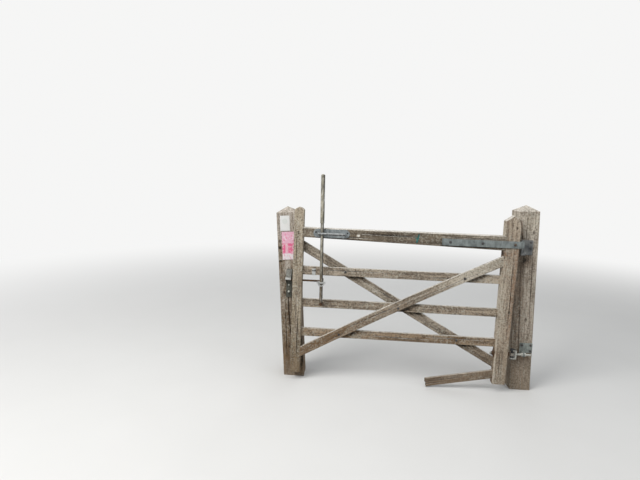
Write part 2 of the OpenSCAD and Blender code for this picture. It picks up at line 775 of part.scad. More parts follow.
// What is left of the lowest rail: it droops from its mortise to a splintered end
module broken_rail() {
    // Broken end, as shares of the length and depth from the lower edge up
    splinters = [[0.955, 1], [0.96, 0.82], [0.985, 0.7], [0.975, 0.5], [1, 0.36], [0.99, 0.2], [1, 0]];
    heel = rail_d / 2;
    color(oak_dark) {
        box([hang_stile_x - cut, rail_front_y, stub_z - rail_d + tenon_shoulder],
            [hang_stile_x + tenon_l, rail_back_y, stub_z - tenon_shoulder]);
        plate_xz(rail_front_y, rail_back_y) intersection() {
            translate([hang_stile_x, stub_z]) rotate(180 + stub_droop)
                polygon(concat([[-heel, 0], [-heel, rail_d]],
                    [for (s = splinters) [s[0] * stub_l, s[1] * rail_d]]));
            translate([hang_stile_x - 2 * stub_l, 0]) square([2 * stub_l, 2 * stub_z]);
        }
    }
}

// A brace between two heights, bowed upwards, and cut off plumb against both stiles
module brace(latch_z, hinge_z, rise) {
    half = [0, brace_d / 2 / cos(atan((hinge_z - latch_z) / clear_w))];
    latch_end = [shut_stile_x, latch_z];
    hinge_end = [hang_stile_x, hinge_z];
    crown = (latch_end + hinge_end) / 2 + [0, 2 * rise];
    steps = rise > 0 ? 12 : 1;
    polygon(concat(bow(latch_end - half, crown - half, hinge_end - half, steps),
        bow(hinge_end + half, crown + half, latch_end + half, steps)));
}

module front_brace() {
    color(oak_grey) difference() {
        plate_xz(leaf_front_y, rail_front_y)
            brace(front_brace_latch_z, front_brace_hinge_z, front_brace_bow);
        brace_holes();
    }
}

module rear_brace() {
    color(oak_dark) difference() {
        plate_xz(rail_back_y, leaf_back_y) brace(rear_brace_latch_z, rear_brace_hinge_z, 0);
        brace_holes();
    }
}

// Plan of one strap of the top band: flat along the leaf's face, then drawn in to the eye
module band_plan(face_y, side) {
    outer_y = face_y + side * band_t;
    seat_r = (pin_d + eye_wall) / 2;
    polygon([[band_back_x, face_y], [leaf_hinge_x, face_y],
        [axis_x - seat_r * sin(60), axis_y + side * seat_r * cos(60)],
        [axis_x - seat_r * sin(15), axis_y + side * seat_r * cos(15)],
        [leaf_hinge_x, outer_y], [band_back_x, outer_y]]);
}

// Front strap of the top band, with the eye that turns on the top hook
module top_band_front() {
    color(steel) difference() {
        union() {
            plate_xy(band_low_z, band_high_z) band_plan(leaf_front_y, -1);
            bar_z(eye_d, axis_x, axis_y, band_low_z, band_high_z);
        }
        bar_z(eye_hole_d, axis_x, axis_y, band_low_z - cut, band_high_z + cut);
        band_holes(leaf_front_y - band_t, leaf_front_y);
    }
}

// Back strap of the top band, hollowed to fit round the eye
module top_band_back() {
    color(steel) difference() {
        plate_xy(band_low_z, band_high_z) difference() {
            band_plan(leaf_back_y, 1);
            translate([axis_x, axis_y]) circle(d = eye_d + 2 * fit_clear);
        }
        band_holes(leaf_back_y, leaf_back_y + band_t);
    }
}

module band_holes(y0, y1) {
    for (x = band_bolt_x)
        bar_y(band_bolt_d + hole_clear, x, y0 - cut, y1 + cut, band_z);
}

// Through bolts of the top band, each with a round head in front and a nut behind
module band_bolts() {
    front = leaf_front_y - band_t;
    back = leaf_back_y + band_t;
    color(dark_steel) for (x = band_bolt_x) {
        bar_y(band_bolt_d, x, front, back, band_z);
        bar_y(round_head_d, x, front - round_head_h, front, band_z);
        hex_y(coach_head_w, x, back, back + coach_head_h, band_z);
    }
}

// Threaded bolt through the hanging stile, with the eye that turns on the bottom pin
module bottom_eye_bolt() {
    tip_x = hang_stile_x - stile_washer_t - rod_nut_h - eye_bolt_tail;
    low_z = yoke_z - eye_h / 2;
    high_z = yoke_z + eye_h / 2;
    color(steel) difference() {
        union() {
            bar_x(thread_d, tip_x, axis_x, axis_y, yoke_z);
            bar_z(eye_d, axis_x, axis_y, low_z, high_z);
        }
        bar_z(eye_hole_d, axis_x, axis_y, low_z - cut, high_z + cut);
    }
}

// Square washer and nut on each side of the hanging stile, the near nut always short of the eye
module eye_bolt_nuts() {
    half = stile_washer_w / 2;
    far_x = hang_stile_x - stile_washer_t;
    near_x = hinge_side_x(yoke_z + half);
    near_nut_x = near_x + stile_washer_t;
    near_nut_h = min(rod_nut_h, axis_x - eye_d / 2 - eye_bolt_neck - near_nut_x);
    color(rusty) difference() {
        union() {
            for (x = [far_x, near_x])
                box([x, axis_y - half, yoke_z - half], [x + stile_washer_t, axis_y + half, yoke_z + half]);
            hex_x(rod_nut_w, far_x - rod_nut_h, far_x, axis_y, yoke_z);
            hex_x(rod_nut_w, near_nut_x, near_nut_x + near_nut_h, axis_y, yoke_z);
        }
        bar_x(thread_d + 2 * fit_clear, far_x - 2 * rod_nut_h, axis_x, axis_y, yoke_z);
    }
}

// Back plate with round ends, and a bar bridged out in front of it for the lever to slide behind
module lever_guide() {
    bar_back_y = guide_plate_y - guide_slot;
    bar_front_y = bar_back_y - guide_bar_t;
    left_x = guide_bar_x0 - guide_bar_t;
    right_x = guide_bar_x1 + guide_bar_t;
    color(steel) {
        plate_xz(guide_plate_y, leaf_front_y)
            round_rect([guide_left_x, guide_z - guide_h / 2], [guide_right_x, guide_z + guide_h / 2],
                guide_h * 0.48);
        plate_xy(guide_z - guide_bar_h / 2, guide_z + guide_bar_h / 2)
            polygon([[left_x, guide_plate_y], [guide_bar_x0, guide_plate_y], [guide_bar_x0, bar_back_y],
                [guide_bar_x1, bar_back_y], [guide_bar_x1, guide_plate_y], [right_x, guide_plate_y],
                [right_x, bar_front_y], [left_x, bar_front_y]]);
    }
}

// A screw midway between each leg of the bar and the end of the plate
module guide_screws() {
    left_x = (guide_left_x + guide_bar_x0 - guide_bar_t) / 2;
    right_x = (guide_right_x + guide_bar_x1 + guide_bar_t) / 2;
    color(dark_steel) for (x = [left_x, right_x])
        bar_y(guide_screw_d, x, guide_plate_y - guide_screw_h, guide_plate_y, guide_z + guide_screw_up);
}

// Small cleat on the second rail beside the lever, flush with the rail's lower edge
module rail_cleat() {
    left_x = shut_stile_x + cleat_x;
    low_z = second_rail_z - rail_d;
    face_y = rail_front_y - cleat_t;
    color(steel) {
        box([left_x, face_y, low_z], [left_x + cleat_w, rail_front_y, low_z + cleat_h]);
        bar_y(cleat_head_d, left_x + cleat_w / 2, face_y - cleat_head_h, face_y,
            low_z + cleat_h - cleat_head_d * 0.7);
    }
}

// Pivot bolt with a spacer that holds the lever clear of the rail, and a nut at each end
module lever_pivot_bolt() {
    spacer_front_y = lever_y + boss_l / 2 + boss_clear;
    washer_back_y = lever_y - boss_l / 2 - boss_clear;
    washer_front_y = washer_back_y - pivot_washer_t;
    color(dark_steel) {
        bar_y(pivot_d, lever_px, washer_front_y - cut, rail_back_y + cut, pivot_z);
        bar_y(spacer_d, lever_px, spacer_front_y, rail_front_y, pivot_z);
        bar_y(boss_d, lever_px, washer_front_y, washer_back_y, pivot_z);
        hex_y(pivot_nut_w, lever_px, washer_front_y - pivot_nut_h, washer_front_y, pivot_z);
        hex_y(pivot_nut_w, lever_px, rail_back_y, rail_back_y + pivot_nut_h, pivot_z);
    }
}

// Bolts where the braces cross the rails: the one on the third rail holds both braces
module brace_bolts() {
    backs = [rail_back_y, leaf_back_y, rail_back_y];
    color(dark_steel) {
        for (i = [0:2])
            brace_bolt(front_bolts[i], leaf_front_y, backs[i]);
        for (at = rear_bolts)
            brace_bolt(at, rail_front_y, leaf_back_y);
    }
}

module brace_bolt(at, front_y, back_y) {
    bar_y(brace_bolt_d, at[0], front_y, back_y, at[1]);
    bar_y(brace_head_d, at[0], front_y - brace_head_h, front_y, at[1]);
    hex_y(brace_nut_w, at[0], back_y, back_y + brace_nut_h, at[1]);
}

// Places what is drawn up the lever's own length from its pivot
module on_lever() {
    translate([lever_px, lever_y, pivot_z]) rotate([0, -lever_lean, 0]) children();
}

// Tube standing on a boss that turns on the pivot bolt
module latch_lever() {
    color(steel) on_lever() difference() {
        union() {
            bar_z(lever_d, 0, 0, 0, lever_l - grip_cap_t);
            bar_y(boss_d, 0, -boss_l / 2, boss_l / 2, 0);
        }
        bar_z(lever_d - 2 * lever_wall, 0, 0, boss_d / 2 + cut, lever_l);
        bar_y(pivot_d + 2 * pin_clear, 0, -boss_l, boss_l, 0);
    }
}

// Grip sleeve over the top of the lever, closed by a domed cap
module lever_grip() {
    low_z = lever_l - grip_l;
    dome_h = grip_d * 0.3;
    dome_r = (grip_d * grip_d / 4 + dome_h * dome_h) / (2 * dome_h);
    color(steel) on_lever() difference() {
        intersection() {
            bar_z(grip_d, 0, 0, low_z, lever_l + cut);
            union() {
                translate([0, 0, lever_l - dome_r]) sphere(r = dome_r);
                bar_z(2 * grip_d, 0, 0, low_z - cut, lever_l - dome_h);
            }
        }
        bar_z(grip_d - 2 * grip_wall, 0, 0, low_z - cut, lever_l - grip_cap_t);
    }
}

// Clamp round the lever: a saddle with a pin behind it, and a U-bolt hung from a cross bar
module lever_clamp() {
    side = lever_d / 2 + saddle_wall;
    bar_low_z = clamp_arm + saddle_h / 2 - cross_bar_h;
    bar_front_y = -side - cross_bar_t;
    u_y = -side - cross_bar_t / 2;
    color(steel) on_lever() {
        difference() {
            box([-saddle_w / 2, -side, clamp_arm - saddle_h / 2],
                [saddle_w / 2, side, clamp_arm + saddle_h / 2]);
            bar_z(lever_d + 2 * fit_clear, 0, 0, clamp_arm - saddle_h, clamp_arm + saddle_h);
        }
        bar_y(clamp_pin_d, 0, side - cut, bolt_y + eye_plate_t / 2 + clamp_pin_past - lever_y, clamp_arm);
        box([-cross_bar_l / 2, bar_front_y, bar_low_z], [cross_bar_l / 2, -side, bar_low_z + cross_bar_h]);
        translate([0, u_y, bar_low_z]) rotate([90, 0, 0]) intersection() {
            rotate_extrude() translate([u_bolt_r, 0]) circle(d = u_bolt_d);
            box([-2 * u_bolt_r, -2 * u_bolt_r, -u_bolt_r], [2 * u_bolt_r, 0, u_bolt_r]);
        }
        for (x = [-u_bolt_r, u_bolt_r])
            bar_z(u_bolt_d, x, u_y, bar_low_z, bar_low_z + cross_bar_h + u_bolt_over);
    }
}

// Round latch rod with a bevelled nose, and a slotted eye plate that the lever's pin works in
module latch_rod() {
    slot_r = clamp_pin_d / 2 + eye_slot_play;
    slot_low_z = bolt_z - eye_drop - eye_slot_play;
    color(rusty) difference() {
        union() {
            bar_x(bolt_d, nose_x, eye_x - eye_plate_w / 2 + cut, bolt_y, bolt_z);
            plate_xz(bolt_y - eye_plate_t / 2, bolt_y + eye_plate_t / 2)
                round_rect([eye_x - eye_plate_w / 2, bolt_z - eye_plate_h / 2],
                    [eye_x + eye_plate_w / 2, bolt_z + eye_plate_h / 2], eye_plate_w * 0.48);
        }
        plate_xz(bolt_y - bolt_d, bolt_y + bolt_d) {
            translate([eye_x - slot_r, slot_low_z]) square([2 * slot_r, bolt_z - slot_low_z]);
            for (z = [slot_low_z, bolt_z])
                translate([eye_x, z]) circle(r = slot_r);
        }
        translate([nose_x, bolt_y, 0]) plate_xy(bolt_z - bolt_d, bolt_z + bolt_d)
            polygon([[-cut, -bolt_d * 0.2], [bolt_d, bolt_d * 0.6], [-cut, bolt_d * 0.6]]);
    }
}

hanging_post();
shutting_post();
white_notice();
pink_notice();
latch_catch();
top_hook();
bottom_hook_plate();
bottom_yoke();
bottom_pin();
post_bolts();
shutting_stile();
hanging_stile();
top_rail();
second_rail();
third_rail();
bottom_rail();
broken_rail();
front_brace();
rear_brace();
top_band_front();
top_band_back();
band_bolts();
bottom_eye_bolt();
eye_bolt_nuts();
lever_guide();
guide_screws();
rail_cleat();
lever_pivot_bolt();
brace_bolts();
latch_lever();
lever_grip();
lever_clamp();
latch_rod();
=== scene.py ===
"""Timber bridle gate with a tall latch lever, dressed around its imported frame.

Lengths are metres. +Z runs up the hinge axis, -Y faces the rider and the leaf closes along -X.
Each timber is a ringed surface: a rounded section carried along the piece, worn inwards only.
"""

import json
import math

import bmesh
import bpy
import numpy as np
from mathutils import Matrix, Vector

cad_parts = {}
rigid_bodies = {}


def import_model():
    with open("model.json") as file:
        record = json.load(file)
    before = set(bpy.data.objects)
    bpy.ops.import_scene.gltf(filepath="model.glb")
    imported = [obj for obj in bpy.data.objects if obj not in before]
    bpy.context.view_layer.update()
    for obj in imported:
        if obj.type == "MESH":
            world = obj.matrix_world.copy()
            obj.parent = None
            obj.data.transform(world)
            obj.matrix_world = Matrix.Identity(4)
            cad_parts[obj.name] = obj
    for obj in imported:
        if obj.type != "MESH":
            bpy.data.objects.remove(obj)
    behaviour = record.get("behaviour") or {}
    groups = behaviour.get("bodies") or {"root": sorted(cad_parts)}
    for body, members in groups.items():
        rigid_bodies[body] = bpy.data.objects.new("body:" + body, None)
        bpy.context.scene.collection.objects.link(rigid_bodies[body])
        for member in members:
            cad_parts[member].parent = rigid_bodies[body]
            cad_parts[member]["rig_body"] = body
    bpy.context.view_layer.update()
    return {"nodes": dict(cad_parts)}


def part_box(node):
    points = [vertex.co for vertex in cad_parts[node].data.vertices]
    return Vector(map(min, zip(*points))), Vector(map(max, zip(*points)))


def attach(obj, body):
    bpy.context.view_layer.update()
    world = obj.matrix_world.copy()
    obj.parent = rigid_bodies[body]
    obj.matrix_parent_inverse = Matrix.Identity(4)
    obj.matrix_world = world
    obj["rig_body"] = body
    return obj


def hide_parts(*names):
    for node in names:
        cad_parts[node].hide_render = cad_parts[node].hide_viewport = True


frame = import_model()

bl_info = {
    "name": "Timber bridle gate",
    "version": (1, 0, 0),
    "blender": (4, 5, 0),
    "location": "View3D > Sidebar > Gate",
    "description": "Weathered timber, ironwork and studio of a bridle gate with a tall latch lever",
    "category": "Object",
}

# Posts
HANG_POST_W, HANG_POST_H, HANG_POST_LEAN = 0.175, 1.533, math.radians(2.1)
SHUT_POST_W, SHUT_POST_H, SHUT_POST_LEAN = 0.180, 1.446, math.radians(4.0)
CAP_RISE, CAP_BLUNT = 0.048, 0.002
SKEWED_FOOT = 0.25

# Stations of a cap: round the eaves, then evenly from above them to just below the point
EAVES_STEPS, CAP_FROM, CAP_TO, CAP_STATIONS = (-0.004, 0.0, 0.002), 0.005, 0.001, 14

# Stiles: the shutting one has a round head, the hanging one a bow and a point
SHUT_HEAD_R, SHUT_HEAD_LEAST = 0.050, 0.004
HANG_HEAD_RISE, HANG_ROUND_RISE, HANG_PEAK_IN, HANG_PEAK_BLUNT = 0.044, 0.103, 0.060, 0.002
HANG_ELBOW_DROP = 0.4 * HANG_ROUND_RISE
HANG_STILE_FOOT_W = 0.108
SHUT_HEAD_BELOW, SHUT_HEAD_STATIONS, HANG_HEAD_STATIONS = 0.004, 18, 40

# Rails and braces, and the braces' middle lines that the painted shadows at crossings follow
TOP_RAIL_LATCH_D, TOP_RAIL_HINGE_D = 0.082, 0.120
RAIL_D = 0.076
BRACE_D = 0.080
FRONT_BRACE_BOW = 0.016
FRONT_BRACE_LOW_Z, FRONT_BRACE_RISE, FRONT_BRACE_SHADE = 0.258, 0.864, 0.055
REAR_BRACE_HIGH_Z, REAR_BRACE_FALL, REAR_BRACE_SLOPE = 1.168, 0.916, 0.562
REAR_BRACE_LEFT_X, RAIL_SHADE = -1.893, 0.008
STUB_LENGTH, STUB_DROOP, STUB_SPLINTERS = 0.572, math.radians(11), 0.09
STUB_TEETH, STUB_LOWER_BACK = 0.012, 0.014
SEAT = 0.012

# Front faces of the posts, of the stiles and top rail, and of the thin rails, from their middles
HANG_FRONT, SHUT_FRONT = -HANG_POST_W / 2, -SHUT_POST_W / 2
THICK_FRONT, THIN_FRONT = -0.0375, -0.0125

# Painted shadow on the leaf, under the band and the guide and where braces and rails cross, and
# the bottom rail's stain: length, radius and strength of a spot, and where the spots lie
UNDER_BAND, BAND_END, UNDER_GUIDE = (0.022, 0.007, 1.5), (0.006, 0.012, 1.4), (0.022, 0.007, 1.6)
BAND_SHADOW_DROP, BAND_SHADOW_END_X, BAND_END_OFF, BAND_END_B = 0.003, -0.27, 0.004, (-0.014, 0.004)
GUIDE_SHADOW_X, GUIDE_SHADOW_B = (-1.80, -1.48), -0.043
FRONT_BRACE_OVER, REAR_BRACE_BEHIND = (0.022, 0.014, 1.2), (0.07, 0.05, 0.9)
FRONT_BRACE_OVER_B = np.linspace(-0.032, 0.032, 5)
RAIL_OVER, RAIL_OVER_B = (0.022, 0.013, 1.5), np.linspace(-0.034, 0.034, 5)
BOTTOM_RAIL_STAIN = (-1.0, 0.0, 0.0, 0.7, 0.2, 0.45)

# Hinge ironwork: a thread stands a little proud of its rod and is tucked into nut and yoke
ROD_DIAMETER, ROD_NUT_H = 0.018, 0.014
THREAD_PITCH, THREAD_DEPTH, THREAD_PROUD, THREAD_RUN_IN = 0.0025, 0.0012, 0.0007, 0.0005
NUT_TUCK, YOKE_TUCK, END_PROUD = 0.002, 0.001, 0.0005
LUG_LEFT_X, LUG_RIGHT_X = -0.022, -0.012
YOKE_REACH, YOKE_ARM_H = 0.050, 0.012

# Latch ironwork, with the painted shadow lines of the guide bar and the small cleat
GUIDE_BAR_D, GUIDE_SHADOW_UP, GUIDE_SHADOW_HALF = 0.004, 0.0285, 0.007
CATCH_PLATE_T, CATCH_HOOD_REACH, CATCH_UPPER_H = 0.007, 0.045, 0.07
CATCH_LIP_DROP, CATCH_EDGE_DROP, CATCH_SIDE_T = 0.012, 0.03, 0.001
CLEAT_SHADOW_SHARE = 0.33

# Bolts: radius and height of the head, width and height of the nut
BAND_BOLT = (0.011, 0.005, 0.017, 0.007)
BRACE_BOLT = (0.010, 0.004, 0.015, 0.006)
# Bars, hexagon heads and screws. A solid taller than the least height is a hexagon head
BOLT_R, COACH_HEAD_W, CATCH_SCREW_R, GUIDE_SCREW_R = 0.005, 0.017, 0.009, 0.007
COACH_HEAD_LEAST_H, PIVOT_EDGE = 0.006, 0.0006

# Notices: width, height and how far the lower corners curl
NOTICES = {"white_notice": (0.082, 0.130, 0.0), "pink_notice": (0.118, 0.240, 0.004)}
NOTICE_T, NOTICE_STANDS_OFF, NOTICE_RIPPLE = 0.0012, 0.0016, 0.0002
WHITE = (0.70, 0.705, 0.70)

# Ironwork's rounding: slack of the bevel in its box, the least angle of an edge, the greatest
# angle inside a flat face, and how near points are merged
BEVEL_SLACK, EDGE_ANGLE, FLAT_ANGLE, MERGED_WITHIN = 5e-5, math.radians(35), math.radians(0.6), 1e-6

# Stage
CAMERA_YAW, CAMERA_PITCH, CAMERA_ROLL = (math.radians(v) for v in (3.82, 7.92, 2.05))
LAMP_AIM = (-1.0, -0.1, 0.8)

# Lamps: name, the setting of their power, place, size and colour
WARM, PLAIN, COOL = (1.0, 0.985, 0.96), (1.0, 1.0, 1.0), (0.96, 0.98, 1.0)
LAMPS = (("key_lamp", "key", (-5.2, -3.8, 5.2), 3.6, WARM),
         ("top_lamp", "top", (-1.0, -1.5, 5.8), 5.5, PLAIN),
         ("right_fill_lamp", "fill", (4.4, -3.4, 3.4), 3.0, COOL),
         ("back_fill_lamp", "fill", (-0.4, 5.6, 4.4), 4.0, COOL))
BACKDROP = (0.92, 0.92, 0.915)
FLOOR_RADIUS, FLOOR_Z, FLOOR_FADE = 60, -0.0005, (2.5, 9.0)


# Smooth noise

def hashed(ix, iy, iz, seed):
    """A fixed random value from 0 to 1 for each whole lattice point."""
    h = (ix * 374761393 + iy * 668265263 + iz * 1274126177 + seed * 974634777) & 0xFFFFFFFF
    h = ((h ^ (h >> 13)) * 1274126177) & 0xFFFFFFFF
    h = ((h ^ (h >> 16)) * 668265263) & 0xFFFFFFFF
    return ((h ^ (h >> 15)) & 0xFFFFFF) / float(0xFFFFFF)


def noise(x, y, z, seed=0):
    """Value noise from 0 to 1: lattice values blended by the cubic 3t2 - 2t3 along each axis."""
    x, y, z = np.broadcast_arrays(x, y, z)
    ix, iy, iz = (np.floor(v).astype(np.int64) for v in (x, y, z))
    fx, fy, fz = (f * f * (3 - 2 * f) for f in (x - ix, y - iy, z - iz))
    total = np.zeros(x.shape)
    for dx, dy, dz in np.ndindex(2, 2, 2):
        weight = (fx if dx else 1 - fx) * (fy if dy else 1 - fy) * (fz if dz else 1 - fz)
        total += weight * hashed(ix + dx, iy + dy, iz + dz, seed)
    return total


# Meshes

def in_scene(name, data):
    """A new object for the data, at the origin and linked to the scene."""
    obj = bpy.data.objects.new(name, data)
    bpy.context.scene.collection.objects.link(obj)
    return obj


def give_materials(mesh, material, patches=()):
    """One material for the mesh, and more for its patches.

    Each patch is (a test of the faces' middles by x, y and z, its own material).
    """
    mesh.materials.clear()
    mesh.materials.append(material)
    middles = np.zeros(len(mesh.polygons) * 3, np.float32)
    mesh.polygons.foreach_get("center", middles)
    chosen = np.zeros(len(mesh.polygons), np.int32)
    for number, (test, own) in enumerate(patches, 1):
        mesh.materials.append(own)
        chosen[test(*middles.reshape(-1, 3).T)] = number
    mesh.polygons.foreach_set("material_index", chosen)


def make_object(name, shape, body, material, node_name=None, attributes=None, angle=38,
                patches=()):
    """A piece at the origin that rides on a body, smooth below the given angle in degrees.

    It stands for the CAD node, where one is named.
    """
    points, faces = shape
    mesh = bpy.data.meshes.new(name)
    mesh.from_pydata(points.tolist(), [], faces)
    mesh.validate()
    for key, values in (attributes or {}).items():
        kind, field = ("FLOAT_VECTOR", "vector") if values.ndim == 2 else ("FLOAT", "value")
        layer = mesh.attributes.new(key, kind, "POINT")
        layer.data.foreach_set(field, values.astype(np.float32).ravel())
    mesh.shade_smooth()
    mesh.set_sharp_from_angle(angle=math.radians(angle))
    give_materials(mesh, material, patches)
    obj = in_scene(name, mesh)
    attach(obj, body)
    if node_name:
        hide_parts(node_name)


def grid_faces(rows, columns):
    """Quads of a grid whose columns close into rings, wound so that they face outwards."""
    i, j = np.meshgrid(np.arange(rows - 1), np.arange(columns), indexing="ij")
    k = (j + 1) % columns
    return np.stack([i * columns + j, i * columns + k, (i + 1) * columns + k,
                     (i + 1) * columns + j], axis=-1).reshape(-1, 4).tolist()


def closed_faces(rows, columns):
    """The quads of a grid of rings, and one face over its first ring and one over its last."""
    ring = np.arange(columns)
    return grid_faces(rows, columns) + [ring[::-1].tolist(), (ring + (rows - 1) * columns).tolist()]


def revolve(profile, centre, axis, sides=24, flats=0):
    """A profile of (radius, height) turned round a level axis through centre.

    A point is centre + radius (side cos t + other sin t) + height axis. With flats, the radius is
    cut to a polygon of that many sides: flat / cos(angle from its middle), so that a cone in the
    profile chamfers the polygon's corners.
    """
    profile = np.array(profile, float)
    turn = np.arange(sides) / sides * 2 * math.pi
    radius = np.repeat(profile[:, :1], sides, axis=1)
    if flats:
        step = 2 * math.pi / flats
        apothem = profile[:, 0].max() * math.cos(step / 2)
        radius = np.minimum(radius, apothem / np.cos((turn + step / 2) % step - step / 2))
    axis = np.array(axis, float)
    side = np.cross(axis, [0.0, 0.0, 1.0])
    other = np.cross(axis, side)
    points = (np.array(centre, float)
              + radius[..., None] * (np.cos(turn)[:, None] * side + np.sin(turn)[:, None] * other)
              + profile[:, 1][:, None, None] * axis)
    return points.reshape(-1, 3), closed_faces(len(profile), sides)


def joined(parts):
    """Several (points, faces) shapes as one."""
    points, faces, start = [], [], 0
    for p, f in parts:
        points.append(p)
        faces += [[start + i for i in face] for face in f]
        start += len(p)
    return np.concatenate(points), faces


# Timber

# Corners of a section and the outward directions of the faces between them
CORNERS = ((-1, -1), (1, -1), (1, 1), (-1, 1))
OUTWARD = ((0, -1), (1, 0), (0, 1), (-1, 0))

# Faces of an upright, whose section is seen from above, and of a rail, seen from its end
FRONT, RIGHT, BACK, LEFT = OUTWARD
TOP, FORE, AFT = (0, 1), (-1, 0), (1, 0)

# Ridges of the worn surface: share of the wear, waves a metre along the piece and across it
RIDGES = ((0.45, 5.0, 120), (0.75, 2.2, 46), (1.0, 1.3, 9))
CRACK_DRIFT = 0.004
KNOT_DEPTH = 0.0012
ARRIS_BAND = 0.007

# How far each seed moves the grain's coordinates, so that no two timbers show the same grain
GRAIN_SHIFT = (3.7, 0.613, 0.291)

# Sizes of the rings that close an end, drawn in towards its middle
END_RINGS = (0.93, 0.7, 0.45, 0.2)

# Columns over a crack, how many of its widths they reach to each side, and the least gap
CRACK_COLUMNS, CRACK_REACH, LEAST_GAP = 13, 1.6, 0.0008


def section_columns(spans, step, cracks):
    """Columns round a rounded rectangle, with more of them over the cracks of each face.

    Each column has a first and a second corner, its share of the way between them and its outward
    direction. Between two faces lie three columns on the corner's arc.
    """
    columns = []
    for side, outward in enumerate(OUTWARD):
        first, second = CORNERS[side], CORNERS[(side + 1) % 4]
        size = spans[side % 2]
        shares = list(np.linspace(0, 1, max(4, int(size / step)) + 1))
        for face, at, _, _, width, _ in cracks:
            if face == outward:
                middle = 0.5 + at * (0.5 if side < 2 else -0.5)
                near = np.linspace(-CRACK_REACH, CRACK_REACH, CRACK_COLUMNS)
                near = middle + near * width / size
                shares += [share for share in near if 0.02 < share < 0.98]
        shares = np.array(sorted(shares))
        shares = shares[np.concatenate([[True], np.diff(shares) > LEAST_GAP / size])]
        columns += [(first, second, share, outward) for share in shares]
        here, ahead = np.array(outward, float), np.array(OUTWARD[(side + 1) % 4], float)
        for angle in (math.pi / 8, math.pi / 4, 3 * math.pi / 8):
            columns.append((second, second, 0.0, here * math.cos(angle) + ahead * math.sin(angle)))
    return (np.array(part, float) for part in zip(*columns))


def crack_mask(s, x, facing, start, stop, width, line):
    """How far into a drying crack each point lies: 1 on its line, 0 at its sides.

    The crack opens and closes along its length as the sine of half a turn, to the power 0.6.
    """
    opening = np.sin(math.pi * np.clip((s - start) / (stop - start), 0, 1)) ** 0.6
    half = np.maximum(width / 2 * opening, 1e-5)
    return np.clip(1 - np.abs(x - line) / half, 0, 1) * opening * np.clip(facing * 4 - 3, 0, 1)


def away(s, a, b, spot, length, radius):
    """Squared distance from a spot, in lengths along the piece and radii across it."""
    return ((s - spot[0]) / length) ** 2 + ((a - spot[1]) ** 2 + (b - spot[2]) ** 2) / radius ** 2


def soft_spots(spots, s, a, b, seed):
    """Sum of soft spots (s, a, b, length, radius, strength), each a bell broken up by noise."""
    total = np.zeros(a.shape)
    ragged = 0.6 + 0.8 * noise(s * 22, a * 75, b * 75, seed + 9)
    for *spot, length, radius, strength in spots:
        near = np.exp(-away(s, a, b, spot, length, radius) * (1.6 - 0.6 * ragged))
        total += strength * near * ragged
    return total


